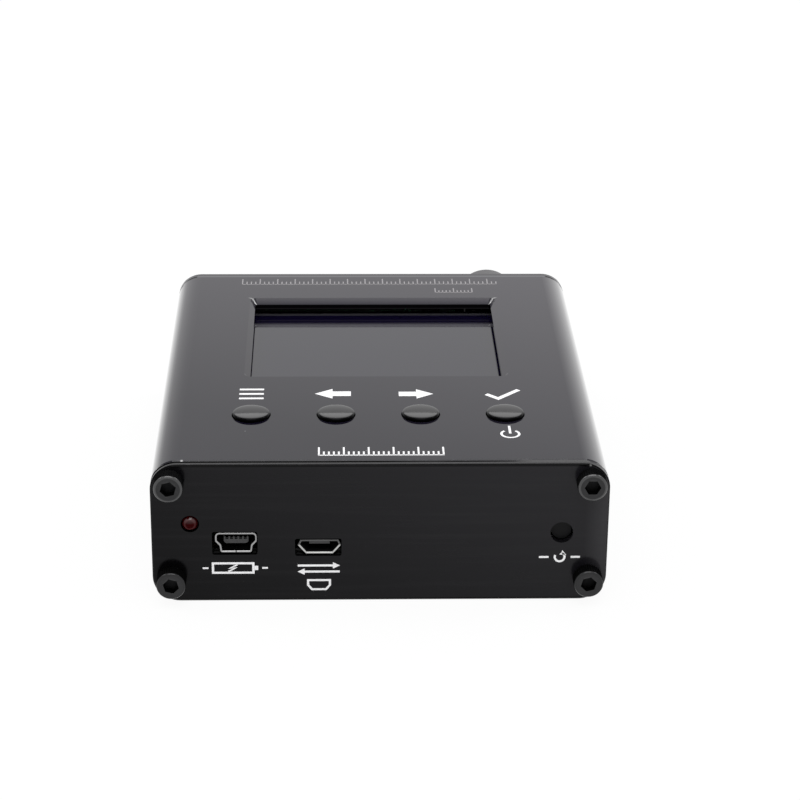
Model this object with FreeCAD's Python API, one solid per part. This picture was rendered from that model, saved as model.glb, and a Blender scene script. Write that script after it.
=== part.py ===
import FreeCAD, Part
# Handheld antenna analyzer, millimetres.
# X runs to the right, Y from the front plate to the RF port, Z up from the underside.
# The origin is the middle of the case's underside. Every function that is named after a node
# returns its solid, or a compound of separate solids where the node is a group.

import math
import os

V = FreeCAD.Vector

# ---------------------------------------------------------------- case and end plates
case_width = 80.0
case_height = 26.6
tube_length = 90.0
wall = 2.0
corner_radius = 4.8
inner_corner_radius = 2.8
tube_edge_break = 0.4
plate_thickness = 1.6
plate_edge_break = 0.25

# ---------------------------------------------------------------- end-plate screws, M3 socket head
screw_diameter = 3.0
screw_length = 8.0
screw_head_diameter = 5.5
screw_head_height = 3.0
screw_head_chamfer = 0.45
screw_hexagon = 2.5
screw_hexagon_depth = 1.6
screw_inset_side = 3.35
screw_inset_top = 3.35
screw_inset_bottom = 4.45
screw_hole_gap = 0.2
flat_head_diameter = 5.5
flat_head_rim = 0.2
flat_head_recess = 0.05
flat_head_gap = 0.05
flat_head_hexagon = 2.0
flat_head_hexagon_depth = 1.0
channel_gap = 0.05
channel_wall = 1.2
channel_slot = 1.4

# ---------------------------------------------------------------- window and display
window_depth = 38.5
window_corner = 0.6
window_bevel = 1.05
display_gap = 1.2
polarizer_overlap_side = 1.1
polarizer_overlap_end = 0.5
polarizer_thickness = 0.2
glass_border_side = 2.6
glass_border_end = 1.5
glass_thickness = 0.5
driver_ledge = 3.6
driver_chip_length = 18.0
driver_chip_width = 1.2
driver_chip_height = 0.3
driver_chip_inset = 1.2
backlight_thickness = 1.3
backlight_rim = 0.3
flex_width = 24.0
flex_thickness = 0.12
flex_landing = 1.2
flex_slack = 0.3
flex_tail = 5.5
pad_to_flex = 0.5
display_to_channel = 2.85
display_to_jack = 3.665

# ---------------------------------------------------------------- keys and their switches
key_pitch = 15.3
key_from_front = 21.1
key_diameter = 6.7
key_height = 0.85
key_edge_chamfer = 0.3
key_gap = 0.18
key_flange_diameter = 9.2
key_flange = 0.6
key_pocket = 0.6
key_pocket_gap = 0.05
key_travel = 0.25
key_play = 0.1
plunger_diameter = 3.5
plunger_collar_diameter = 4.2
plunger_collar = 0.5
plunger_nub_diameter = 2.0
switch_size = 6.0
switch_base_height = 3.15
switch_cover = 0.3
switch_floor = 0.8
switch_gap = 0.1
dome_side_gap = 0.2
dome_top_diameter = 1.8
dome_thickness = 0.1
dome_rise = 0.35
leg_width = 0.7
leg_thickness = 0.3
leg_pitch = 4.5
pin_below_board = 0.9

# ---------------------------------------------------------------- boards and the link between them
board_thickness = 1.6
board_above_channel = 0.65
board_slot_gap = 0.1
board_side_gap = 0.4
board_end_gap = 0.2
rib_depth = 1.8
rib_thickness = 0.8
display_board_front_gap = 5.2
display_board_side_gap = 1.0
display_board_rear_gap = 1.0
notch_gap = 1.5
pin_hole_gap = 0.1
spacer_across_flats = 4.0
spacer_inset_side = 3.5
spacer_inset_front = 6.4
spacer_inset_rear = 3.4
spacer_to_notch = 5.1
small_screw_diameter = 2.0
small_screw_gap = 0.05
small_screw_head_diameter = 3.6
small_screw_head = 1.2
small_screw_length = 4.2
small_screw_slot = 0.5
link_columns = 10
link_pitch = 2.54
link_pin = 0.64
link_pin_gap = 0.13
link_floor = 0.7
link_bar = 2.2
link_gap = 0.1
link_pin_above_board = 0.6

# ---------------------------------------------------------------- sockets in the front plate
socket_recess = 0.2
cutout_gap = 0.28
cutout_shift = -0.2
cutout_corner = 0.4
sheet = 0.35
insert_gap = 0.02
insert_back = 1.2
charging_inset = 14.75
charging_width = 7.4
charging_height = 3.9
charging_side_height = 1.7
charging_waist_width = 5.85
charging_foot_height = 1.35
charging_foot_width = 5.5
charging_top_round = 0.8
charging_bend_round = 0.4
charging_depth = 8.6
charging_seam = 0.15
charging_tongue_width = 4.3
charging_tongue = 1.3
charging_tongue_above = 1.45
charging_tongue_corner = 0.35
charging_tongue_setback = 0.9
charging_contact_pitch = 0.8
data_inset = 29.35
data_width = 7.0
data_height = 2.2
data_top_width = 6.3
data_shoulder = 0.7
data_foot_width = 4.5
data_flare = 0.3
data_flare_length = 0.7
data_depth = 5.6
data_tongue_width = 3.6
data_tongue = 0.6
data_tongue_setback = 1.0
data_contact_pitch = 0.65
contact_count = 5
contact_width = 0.35
contact_thickness = 0.15
contact_groove = 0.5
contact_setback = 0.4

# ---------------------------------------------------------------- charge lamp and reset button
lamp_inset = 6.8
lamp_above_board = 5.75
lamp_diameter = 3.0
lamp_flange_diameter = 3.8
lamp_flange = 0.9
lamp_length = 4.4
lamp_proud = 0.5
lamp_hole_gap = 0.1
lamp_leg_width = 0.45
lamp_leg_spacing = 2.54
lamp_leg_run = 2.4
lamp_leg_bend = 0.9
reset_inset = 8.15
reset_above_board = 3.8
reset_hole_diameter = 4.0
reset_recess = 1.2
reset_stem_length = 5.05

# ---------------------------------------------------------------- RF port
jack_inset = 15.15
jack_above_board = 6.0
jack_block_width = 12.4
jack_block_depth = 7.6
jack_block_round = 1.0
jack_plate_gap = 0.1
jack_thread_relief = 0.05
jack_thread_gap = 0.05
jack_hole_gap = 0.1
jack_thread_length = 3.2
jack_waist_diameter = 8.6
jack_waist_length = 1.0
jack_barrel_diameter = 9.6
jack_barrel_bore = 8.1
jack_barrel_reach = 14.2
jack_lug_diameter = 2.0
jack_lug_span = 11.0
jack_lug_from_mouth = 5.1
jack_insulator_diameter = 4.8
jack_insulator_setback = 0.6
jack_contact_diameter = 2.2
jack_contact_bore = 1.35
jack_contact_bore_depth = 5.0
jack_contact_setback = 0.2
jack_fit_gap = 0.02
jack_pin_diameter = 1.0
jack_drop_diameter = 2.4
jack_nut_across_flats = 14.0
jack_nut = 2.0
jack_washer_diameter = 14.6
jack_washer = 0.5
cap_gap = 0.1
cap_lug_gap = 0.2
cap_lug_wall = 0.55
cap_end = 1.6
cap_edge_chamfer = 0.8
cap_standoff = 0.5
cap_end_gap = 0.3

# ---------------------------------------------------------------- parts on the main board
shield_inset = 3.6
shield_to_jack = 9.9
shield_width = 26.0
shield_depth = 34.0
shield_height = 3.0
shield_sheet = 0.3
shield_gap = 0.05
shield_lip = 1.6
rf_chip_size = 5.0
rf_chip_height = 0.9
processor_x = -12.0
processor_from_front = 58.0
processor_size = 12.0
processor_height = 1.2
charger_from_front = 22.0
charger_width = 5.0
charger_depth = 4.0
charger_height = 1.5

# ---------------------------------------------------------------- battery
battery_width = 45.0
battery_length = 60.0
battery_thickness = 4.0
battery_round = 1.2
battery_from_rear = 16.6
pad_thickness = 0.3
pad_inset = 3.0
protection_depth = 3.0
protection_thickness = 0.8
protection_width = 26.0
lead_diameter = 1.0
lead_spacing = 1.3
lead_exit_x = 9.0
lead_bend = 5.0
lead_run = 2.2
plug_to_channel = 1.0
plug_width = 4.4
plug_length = 3.6
plug_height = 2.2
plug_gap = 0.05
plug_socket_wall = 0.5
plug_socket_length = 4.4

# Cutters run this far past the faces that they go through.
past = 1.0

# ---------------------------------------------------------------- places worked out from the sizes
tube_front = -tube_length / 2
tube_rear = tube_length / 2
front_face = tube_front - plate_thickness
rear_face = tube_rear + plate_thickness
ceiling = case_height - wall
side = case_width / 2

screw_x = side - screw_inset_side
screw_high = case_height - screw_inset_top
screw_low = screw_inset_bottom
screw_places = [(x, z) for x in (-screw_x, screw_x) for z in (screw_low, screw_high)]
channel_radius = screw_diameter / 2 + channel_gap
boss_radius = channel_radius + channel_wall

main_board_bottom = screw_low + boss_radius + board_above_channel
main_board_top = main_board_bottom + board_thickness
main_board_half = side - wall - board_side_gap
board_front = tube_front + board_end_gap
board_rear = tube_rear - board_end_gap

flange_top = ceiling - key_play
flange_bottom = flange_top - key_flange
switch_height = switch_base_height + switch_cover
dome_diameter = plunger_collar_diameter + 2 * (switch_gap - dome_side_gap)
display_board_top = flange_bottom - key_travel - key_play - switch_height
display_board_bottom = display_board_top - board_thickness
display_board_half = screw_x - boss_radius - display_board_side_gap
display_board_front = tube_front + display_board_front_gap
display_board_rear = tube_rear - display_board_rear_gap

display_face = ceiling - display_gap
front_glass_top = display_face - polarizer_thickness
rear_glass_top = front_glass_top - glass_thickness
backlight_top = rear_glass_top - glass_thickness
backlight_bottom = backlight_top - backlight_thickness

socket_face = front_face + socket_recess
charging_x = charging_inset - side
data_x = data_inset - side
lamp_x = lamp_inset - side
lamp_z = main_board_top + lamp_above_board
lamp_tip = front_face - lamp_proud
lamp_back = lamp_tip + lamp_length
reset_x = side - reset_inset
reset_z = main_board_top + reset_above_board
reset_back = front_face + reset_recess + reset_stem_length

jack_x = side - jack_inset
jack_z = main_board_top + jack_above_board
jack_block_rear = tube_rear - jack_plate_gap
jack_block_front = jack_block_rear - jack_block_depth
jack_pin_y = (jack_block_front + jack_block_rear) / 2
jack_thread_diameter = jack_barrel_diameter - 2 * jack_thread_relief
jack_thread_end = rear_face + jack_thread_length
jack_mouth = rear_face + jack_barrel_reach
nut_seat = rear_face + jack_washer
nut_face = nut_seat + jack_nut
cap_mouth = nut_face + cap_standoff
cap_bore_end = jack_mouth + cap_end_gap
cap_tip = cap_bore_end + cap_end

battery_bottom = wall + pad_thickness
battery_middle = battery_bottom + battery_thickness / 2
battery_rear = tube_rear - battery_from_rear
battery_front = battery_rear - battery_length
lead_start = battery_rear + protection_depth
lead_y = lead_start + lead_run + lead_bend
plug_socket_end = screw_x - boss_radius - plug_to_channel
plug_end = plug_socket_end - plug_socket_wall - plug_gap
plug_start = plug_end - plug_length


def from_front(distance):
    """Y of a place that lies a distance behind the front plate's outer face."""
    return front_face + distance


key_y = from_front(key_from_front)
key_places = {"menu": -1.5 * key_pitch, "left": -0.5 * key_pitch,
              "right": 0.5 * key_pitch, "ok": 1.5 * key_pitch}

# The display fills the width between the screw channels, and ends short of the RF jack.
ledge_end = screw_x - boss_radius - display_to_channel
glass_half = ledge_end - driver_ledge
polarizer_half = glass_half - glass_border_side
window_width = 2 * (polarizer_half - polarizer_overlap_side)
polarizer_depth = window_depth + 2 * polarizer_overlap_end
glass_depth = polarizer_depth + 2 * glass_border_end
window_y = jack_block_front - display_to_jack - glass_depth / 2
shield_x = main_board_half - shield_inset - shield_width / 2
shield_y = jack_block_front - shield_to_jack - shield_depth / 2

# The link sits midway between the key switches and the display's pad.
link_y = (key_y + switch_size / 2 + window_y - polarizer_depth / 2) / 2

notch_front = jack_block_front - notch_gap
notch_side = jack_x - jack_block_width / 2 - notch_gap
spacer_x = display_board_half - spacer_inset_side
spacer_front_y = display_board_front + spacer_inset_front
spacer_rear_y = display_board_rear - spacer_inset_rear
spacer_places = [(-spacer_x, spacer_front_y), (spacer_x, spacer_front_y),
                 (-spacer_x, spacer_rear_y), (notch_side - spacer_to_notch, spacer_rear_y)]


# ---------------------------------------------------------------- shape helpers
def block(x, y, z):
    """A box from three (low, high) spans."""
    return Part.makeBox(x[1] - x[0], y[1] - y[0], z[1] - z[0], V(x[0], y[0], z[0]))


def rod(radius, start, direction, length):
    """A cylinder from a start point along a direction."""
    return Part.makeCylinder(radius, length, V(*start), V(*direction))


def rod_y(radius, x, z, y_low, y_high):
    """A cylinder along Y between two places."""
    return rod(radius, (x, y_low, z), (0, 1, 0), y_high - y_low)


def rod_z(radius, x, y, z_low, z_high):
    """A cylinder along Z between two heights."""
    return rod(radius, (x, y, z_low), (0, 0, 1), z_high - z_low)


def span(middle, size):
    """The (low, high) pair of a size centred on a middle."""
    return (middle - size / 2, middle + size / 2)


def edges_along(shape, axis):
    """Straight edges that run along one axis, given as 0, 1 or 2."""
    found = []
    for edge in shape.Edges:
        first = edge.Vertexes[0].Point
        last = edge.Vertexes[-1].Point
        run = [abs(last[i] - first[i]) for i in range(3)]
        across = sum(run) - run[axis]
        if run[axis] > 1e-6 and across < 1e-6:
            found.append(edge)
    return found


def edges_at(shape, axis, place):
    """Edges that lie wholly in the plane where one coordinate equals a place."""
    found = []
    for edge in shape.Edges:
        box = edge.BoundBox
        low = (box.XMin, box.YMin, box.ZMin)[axis]
        high = (box.XMax, box.YMax, box.ZMax)[axis]
        if abs(low - place) < 1e-4 and abs(high - place) < 1e-4:
            found.append(edge)
    return found


def rounded_block(x, y, z, radius, axis):
    """A box whose four edges along one axis are rounded."""
    shape = block(x, y, z)
    return shape.makeFillet(radius, edges_along(shape, axis))


def rounded_wire(x, y, z, radius):
    """A closed rounded rectangle in the plane at height z."""
    solid = rounded_block(x, y, (z - past, z), radius, 2)
    top = [face for face in solid.Faces if abs(face.BoundBox.ZMin - z) < 1e-6][0]
    return top.OuterWire


def hexagon(across_flats, centre, direction, length):
    """A hexagonal prism along Y or Z with two corners on the X axis."""
    corner = across_flats / math.sqrt(3)
    points = []
    for step in range(7):
        angle = math.radians(60 * step)
        along = corner * math.cos(angle)
        across = corner * math.sin(angle)
        offset = V(along, 0, across) if direction[1] else V(along, across, 0)
        points.append(V(*centre) + offset)
    return Part.Face(Part.makePolygon(points)).extrude(V(*direction) * length)


def mirrored_outline(middle, right):
    """Both halves of an (x, z, round) outline whose right half goes from the bottom to the top."""
    left = [(-x, z, radius) for x, z, radius in reversed(right)]
    return [(middle + x, z, radius) for x, z, radius in right + left]


def outline_wire(outline, y):
    """The closed wire of an (x, z, round) outline at one Y, with its corners rounded."""
    corners = [V(x, y, z) for x, z, radius in outline]
    face = Part.Face(Part.makePolygon(corners + [corners[0]]))
    solid = face.extrude(V(0, past, 0))
    for x, z, radius in outline:
        if radius > 0:
            here = [edge for edge in edges_along(solid, 1)
                    if abs(edge.Vertexes[0].X - x) < 1e-6 and abs(edge.Vertexes[0].Z - z) < 1e-6]
            solid = solid.makeFillet(radius, here)
    front = [f for f in solid.Faces if abs(f.BoundBox.YMax - y) < 1e-6][0]
    return front.OuterWire


def carried(wire, length):
    """A solid from a closed wire carried along Y."""
    return Part.Face(wire).extrude(V(0, length, 0))


def bent_path(points, radius):
    """Straight runs through the points, joined by tangent quarter arcs of one radius."""
    edges = []
    start = points[0]
    for here, following in zip(points[1:-1], points[2:]):
        back = (start - here).normalize() * radius
        on = (following - here).normalize() * radius
        centre = here + back + on
        middle = centre + (here - centre).normalize() * radius
        edges.append(Part.LineSegment(start, here + back).toShape())
        edges.append(Part.Arc(here + back, middle, here + on).toShape())
        start = here + on
    edges.append(Part.LineSegment(start, points[-1]).toShape())
    return Part.Wire(edges)


def round_wire(path, diameter):
    """A round wire swept along a path whose first run goes along Y."""
    start = path.Edges[0].Vertexes[0].Point
    section = Part.Wire([Part.Circle(start, V(0, 1, 0), diameter / 2).toShape()])
    return path.makePipeShell([section], True, False)


def square_wire(path, width):
    """A square wire swept along a path whose first run goes along Y."""
    start = path.Edges[0].Vertexes[0].Point
    half = width / 2
    corners = [start + V(x, 0, z) for x, z in ((-half, -half), (half, -half), (half, half), (-half, half))]
    return path.makePipeShell([Part.makePolygon(corners + corners[:1])], True, False)


def joined(solids):
    """One solid from touching ones."""
    return solids[0].multiFuse(solids[1:]).removeSplitter()


def group(solids):
    """Separate solids in one node."""
    return Part.makeCompound(solids)


# ---------------------------------------------------------------- case
def outer_body(y_low, y_high):
    """The case's outer outline between two Y planes."""
    return rounded_block((-side, side), (y_low, y_high), (0, case_height), corner_radius, 1)


def screw_channels():
    """The four bosses in the corners, trimmed to the case's outline."""
    inside = outer_body(tube_front, tube_rear)
    return [rod_y(boss_radius, x, z, tube_front, tube_rear).common(inside) for x, z in screw_places]


def channel_cutter(x, z):
    """One channel's bore, its slot towards the inside and a countersink at each end."""
    low = tube_front - past
    high = tube_rear + past
    inward = math.copysign(boss_radius + past, -x)
    bore = rod_y(channel_radius, x, z, low, high)
    slot = block(sorted((x, x + inward)), (low, high), span(z, channel_slot))
    wide = channel_radius + tube_edge_break
    front = Part.makeCone(wide, channel_radius, tube_edge_break, V(x, tube_front, z), V(0, 1, 0))
    rear = Part.makeCone(wide, channel_radius, tube_edge_break, V(x, tube_rear, z), V(0, -1, 0))
    return joined([bore, slot, front, rear])


def board_ribs(hand):
    """The two ribs that make one side's slot for the main board."""
    inner_face = side - wall
    x_span = sorted((hand * (inner_face - rib_depth), hand * (inner_face + wall / 2)))
    y_span = (tube_front, tube_rear)
    lower = main_board_bottom - board_slot_gap
    upper = main_board_top + board_slot_gap
    return [block(x_span, y_span, (lower - rib_thickness, lower)),
            block(x_span, y_span, (upper, upper + rib_thickness))]


def window_cutter():
    """The window's straight opening and its 45 degree bevel, which runs past the top face."""
    x_span = span(0, window_width)
    y_span = span(window_y, window_depth)
    opening = rounded_block(x_span, y_span, (ceiling - past, case_height + past), window_corner, 2)
    spread = 2 * (window_bevel + past)
    lower = rounded_wire(x_span, y_span, case_height - window_bevel, window_corner)
    upper = rounded_wire(span(0, window_width + spread), span(window_y, window_depth + spread),
                         case_height + past, window_corner + spread / 2)
    return opening.fuse(Part.makeLoft([lower, upper], True, True))


def case_tube():
    """The extrusion: rounded tube, screw channels, board slots, window and key holes."""
    body = outer_body(tube_front, tube_rear)
    rims = edges_at(body, 1, tube_front) + edges_at(body, 1, tube_rear)
    body = body.makeChamfer(tube_edge_break, rims)
    cavity = rounded_block((wall - side, side - wall), (tube_front - past, tube_rear + past),
                           (wall, ceiling), inner_corner_radius, 1)
    body = joined([body.cut(cavity)] + screw_channels() + board_ribs(-1) + board_ribs(1))
    for x, z in screw_places:
        body = body.cut(channel_cutter(x, z))
    body = body.cut(window_cutter())
    for x in key_places.values():
        body = body.cut(rod_z(key_diameter / 2 + key_gap, x, key_y, ceiling - past, case_height + past))
    return body


def end_plate(y_low, y_high):
    """A flat end plate with broken edges and its four screw holes."""
    plate = outer_body(y_low, y_high)
    rims = edges_at(plate, 1, y_low) + edges_at(plate, 1, y_high)
    plate = plate.makeChamfer(plate_edge_break, rims)
    for x, z in screw_places:
        plate = plate.cut(rod_y(screw_diameter / 2 + screw_hole_gap, x, z, y_low - past, y_high + past))
    return plate


def socket_cutout(x, width, z_low, z_high):
    """A front-plate opening round a socket, a little larger and set off to one side."""
    return rounded_block(span(x + cutout_shift, width + 2 * cutout_gap),
                         (front_face - past, tube_front + past),
                         (z_low - cutout_gap, z_high + cutout_gap), cutout_corner, 1)


def front_plate():
    """The front plate: lamp hole, two socket openings and the reset hole."""
    low = front_face - past
    high = tube_front + past
    plate = end_plate(front_face, tube_front)
    plate = plate.cut(rod_y(lamp_diameter / 2 + lamp_hole_gap, lamp_x, lamp_z, low, high))
    plate = plate.cut(rod_y(reset_hole_diameter / 2, reset_x, reset_z, low, high))
    plate = plate.cut(socket_cutout(charging_x, charging_width, main_board_top,
                                    main_board_top + charging_height))
    return plate.cut(socket_cutout(data_x, data_width + 2 * data_flare, main_board_top - data_flare,
                                   main_board_top + data_height + data_flare))


def flat_head(x, z, grow, past_face):
    """The rim and cone of a countersunk head in the rear plate, grown outward by a gap."""
    face = rear_face - flat_head_recess
    wide = flat_head_diameter / 2 + grow
    rim = rod_y(wide, x, z, face - flat_head_rim, face + past_face)
    depth = wide - screw_diameter / 2
    cone = Part.makeCone(wide, wide - depth, depth, V(x, face - flat_head_rim, z), V(0, -1, 0))
    return joined([rim, cone])


def rear_plate():
    """The rear plate with the RF port's hole and countersinks for its screws."""
    radius = jack_thread_diameter / 2 + jack_hole_gap
    plate = end_plate(tube_rear, rear_face).cut(rod_y(radius, jack_x, jack_z, tube_rear - past, rear_face + past))
    for x, z in screw_places:
        plate = plate.cut(flat_head(x, z, flat_head_gap, past))
    return plate


def socket_screw(x, z, seat, outward):
    """One M3 socket-head screw along Y, its head on the seat and pointing outward."""
    face = seat + outward * screw_head_height
    head = rod(screw_head_diameter / 2, (x, seat, z), (0, outward, 0), screw_head_height)
    head = head.makeChamfer(screw_head_chamfer, edges_at(head, 1, face))
    shank = rod(screw_diameter / 2, (x, seat, z), (0, -outward, 0), screw_length)
    floor = face - outward * screw_hexagon_depth
    socket = hexagon(screw_hexagon, (x, floor, z), (0, outward, 0), screw_hexagon_depth + past)
    return joined([head, shank]).cut(socket)


def front_screws():
    """The front plate's four socket-head screws."""
    return group([socket_screw(x, z, front_face, -1) for x, z in screw_places])


def flat_screw(x, z):
    """One M3 countersunk screw, flush with the rear plate. Its length includes the head."""
    face = rear_face - flat_head_recess
    shank = rod_y(screw_diameter / 2, x, z, face - screw_length, face - flat_head_rim)
    socket = hexagon(flat_head_hexagon, (x, face - flat_head_hexagon_depth, z), (0, 1, 0),
                     flat_head_hexagon_depth + past)
    return joined([flat_head(x, z, 0, 0), shank]).cut(socket)


def rear_screws():
    """The rear plate's four countersunk screws, which leave its face flat round the RF port."""
    return group([flat_screw(x, z) for x, z in screw_places])


# ---------------------------------------------------------------- keys and switches
def key_cap(x):
    """A flanged round cap that sits over its switch's plunger."""
    top = case_height + key_height
    stem = rod_z(key_diameter / 2, x, key_y, flange_bottom, top)
    stem = stem.makeChamfer(key_edge_chamfer, edges_at(stem, 2, top))
    flange = rod_z(key_flange_diameter / 2, x, key_y, flange_bottom, flange_top)
    pocket = rod_z(plunger_diameter / 2 + key_pocket_gap, x, key_y, flange_bottom - past,
                   flange_bottom + key_pocket)
    return joined([stem, flange]).cut(pocket)


def switch_body():
    """A switch's moulded base with its round well, upright at the origin."""
    body = block(span(0, switch_size), span(0, switch_size), (0, switch_base_height))
    return body.cut(switch_well())


def switch_well():
    """The round well that holds the dome and the plunger's collar."""
    return rod_z(plunger_collar_diameter / 2 + switch_gap, 0, 0, switch_floor, switch_height + past)


def switch_lid():
    """The sheet-metal cover with the plunger's hole."""
    lid = block(span(0, switch_size), span(0, switch_size), (switch_base_height, switch_height))
    return lid.cut(rod_z(plunger_diameter / 2 + switch_gap, 0, 0, 0, switch_height + past))


def switch_plunger(length):
    """The plunger: stem, collar held under the cover, and the nub that presses the dome."""
    collar_top = switch_base_height - switch_gap
    collar_bottom = collar_top - plunger_collar
    nub_bottom = switch_floor + dome_rise + dome_thickness + key_travel + switch_gap
    return joined([rod_z(plunger_diameter / 2, 0, 0, collar_bottom, length),
                   rod_z(plunger_collar_diameter / 2, 0, 0, collar_bottom, collar_top),
                   rod_z(plunger_nub_diameter / 2, 0, 0, nub_bottom, collar_top)])


def switch_dome():
    """The snap dome on the well's floor: a sheet pressed into a flat top and a sloping skirt."""
    rim = dome_diameter / 2
    flat = dome_top_diameter / 2
    under = [V(0, 0, dome_rise), V(flat, 0, dome_rise), V(rim, 0, 0)]
    over = [point + V(0, 0, dome_thickness) for point in reversed(under)]
    outline = Part.Face(Part.makePolygon(under + over + under[:1]))
    outline.translate(V(0, 0, switch_floor))
    return outline.revolve(V(0, 0, 0), V(0, 0, 1), 360)


def switch_leg(hand, end):
    """One flat leg against a side of the base, down through the display board."""
    inner = switch_size / 2
    return block(sorted((hand * inner, hand * (inner + leg_thickness))), span(end * leg_pitch / 2, leg_width),
                 (-board_thickness - pin_below_board, switch_floor))


def on_display_board(shape, x):
    """A switch piece moved to its key's place on the display board."""
    moved = shape.copy()
    moved.translate(V(x, key_y, display_board_top))
    return moved


def facing_front(shape):
    """A switch piece turned to face the front plate, at the reset hole."""
    moved = shape.copy()
    moved.rotate(V(0, 0, 0), V(1, 0, 0), 90)
    moved.translate(V(reset_x, reset_back, reset_z))
    return moved


def five_switches(piece):
    """One piece of the switches in all five places."""
    return [on_display_board(piece, x) for x in key_places.values()] + [facing_front(piece)]


def key_plunger(x):
    """A key switch's plunger: its top end fills the key cap's pocket."""
    return on_display_board(switch_plunger(flange_bottom + key_pocket - display_board_top), x)


def reset_plunger():
    """The reset switch's long plunger, which ends inside the front plate's hole."""
    return facing_front(switch_plunger(reset_stem_length))


def switch_bases():
    """The five moulded bases; the reset switch's has a foot down to the main board."""
    solids = five_switches(switch_body())
    foot = block(span(reset_x, switch_size), (reset_back - switch_base_height, reset_back),
                 (main_board_top, reset_z))
    upright = joined([solids.pop(), foot.cut(facing_front(switch_well()))])
    return group(solids + [upright])


def switch_covers():
    """The five sheet-metal covers."""
    return group(five_switches(switch_lid()))


def switch_domes():
    """The five snap domes."""
    return group(five_switches(switch_dome()))


def switch_legs():
    """The four key switches' legs, soldered through the display board."""
    return group([on_display_board(switch_leg(hand, end), x) for x in key_places.values()
                  for hand in (-1, 1) for end in (-1, 1)])


# ---------------------------------------------------------------- display
def display_polarizer():
    """The polarizing film on the display's face."""
    return block((-polarizer_half, polarizer_half), span(window_y, polarizer_depth),
                 (front_glass_top, display_face))


def display_glass():
    """The two bonded glass plates; the rear one is longer and makes the driver's ledge."""
    y_span = span(window_y, glass_depth)
    front = block((-glass_half, glass_half), y_span, (rear_glass_top, front_glass_top))
    rear = block((-glass_half, ledge_end), y_span, (backlight_top, rear_glass_top))
    return group([front, rear])


def display_backlight():
    """The light guide's tray behind the glass, with a rim that the glass sits on."""
    tray = block((-glass_half, ledge_end), span(window_y, glass_depth), (backlight_bottom, backlight_top))
    recess = block((backlight_rim - glass_half, ledge_end - backlight_rim),
                   span(window_y, glass_depth - 2 * backlight_rim),
                   (backlight_top - backlight_rim, backlight_top + past))
    return tray.cut(recess)


def display_driver_chip():
    """The driver chip bonded on the glass ledge."""
    return block(span(glass_half + driver_chip_inset, driver_chip_width), span(window_y, driver_chip_length),
                 (rear_glass_top, rear_glass_top + driver_chip_height))


def display_pad():
    """The foam pad between the backlight and the display board."""
    return block((-polarizer_half, glass_half - flex_tail - pad_to_flex), span(window_y, polarizer_depth),
                 (display_board_top, backlight_bottom))


def display_flex():
    """The flat cable: from the ledge, round the display's end and back to the board's pads."""
    low = display_board_top
    high = rear_glass_top + flex_thickness
    middle = (low + high) / 2
    outer = middle - low
    inner = outer - flex_thickness
    start = ledge_end - flex_landing
    bend = ledge_end + flex_slack
    tail = glass_half - flex_tail
    y = window_y - flex_width / 2

    def line(x_from, z_from, x_to, z_to):
        return Part.LineSegment(V(x_from, y, z_from), V(x_to, y, z_to)).toShape()

    def turn(radius):
        return Part.Arc(V(bend, y, middle + radius), V(bend + radius, y, middle),
                        V(bend, y, middle - radius)).toShape()

    loop = Part.Wire([line(start, high, bend, high), turn(outer), line(bend, low, tail, low),
                      line(tail, low, tail, low + flex_thickness),
                      line(tail, low + flex_thickness, bend, low + flex_thickness), turn(inner),
                      line(bend, high - flex_thickness, start, high - flex_thickness),
                      line(start, high - flex_thickness, start, high)])
    return carried(loop, flex_width)


# ---------------------------------------------------------------- boards
def link_places():
    """The (x, y) of every pin of the board link."""
    first = -(link_columns - 1) / 2 * link_pitch
    return [(first + column * link_pitch, link_y + row * link_pitch / 2)
            for column in range(link_columns) for row in (-1, 1)]


def link_posts(width, z_low, z_high):
    """A square post of one width at every pin of the link."""
    return group([block(span(x, width), span(y, width), (z_low, z_high)) for x, y in link_places()])


def link_block(z_low, z_high):
    """The outline shared by the link's socket and its header bar."""
    return block(span(0, link_columns * link_pitch), span(link_y, 2 * link_pitch), (z_low, z_high))


def spacer_holes(z_low, z_high):
    """The four screw holes over the spacers."""
    radius = small_screw_diameter / 2 + pin_hole_gap
    return group([rod_z(radius, x, y, z_low, z_high) for x, y in spacer_places])


def leg_holes(z_low, z_high):
    """The holes for the key switches' legs."""
    holes = []
    for leg in switch_legs().Solids:
        box = leg.BoundBox
        holes.append(block((box.XMin - pin_hole_gap, box.XMax + pin_hole_gap),
                           (box.YMin - pin_hole_gap, box.YMax + pin_hole_gap), (z_low, z_high)))
    return group(holes)


def display_board():
    """The upper board, notched at the rear right for the RF port."""
    low = display_board_bottom - past
    high = display_board_top + past
    board = block((-display_board_half, display_board_half), (display_board_front, display_board_rear),
                  (display_board_bottom, display_board_top))
    board = board.cut(block((notch_side, side), (notch_front, rear_face), (low, high)))
    board = board.cut(spacer_holes(low, high))
    board = board.cut(leg_holes(low, high))
    return board.cut(link_posts(link_pin + 2 * link_pin_gap, low, high))


def main_board():
    """The lower board, which slides in the case's slots between the end plates."""
    low = main_board_bottom - past
    high = main_board_top + past
    board = block((-main_board_half, main_board_half), (board_front, board_rear),
                  (main_board_bottom, main_board_top))
    board = board.cut(spacer_holes(low, high))
    leg_hole_radius = lamp_leg_width / math.sqrt(2) + pin_hole_gap
    for x, y in lamp_leg_places():
        board = board.cut(rod_z(leg_hole_radius, x, y, low, high))
    return board.cut(rod_z(jack_pin_diameter / 2 + pin_hole_gap, jack_x, jack_pin_y, low, high))


def board_spacers():
    """Hexagonal brass spacers between the two boards, drilled through."""
    length = display_board_bottom - main_board_top
    bore = small_screw_diameter / 2 + small_screw_gap
    return group([hexagon(spacer_across_flats, (x, y, main_board_top), (0, 0, 1), length)
                  .cut(rod_z(bore, x, y, main_board_top - past, display_board_bottom + past))
                  for x, y in spacer_places])


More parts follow.
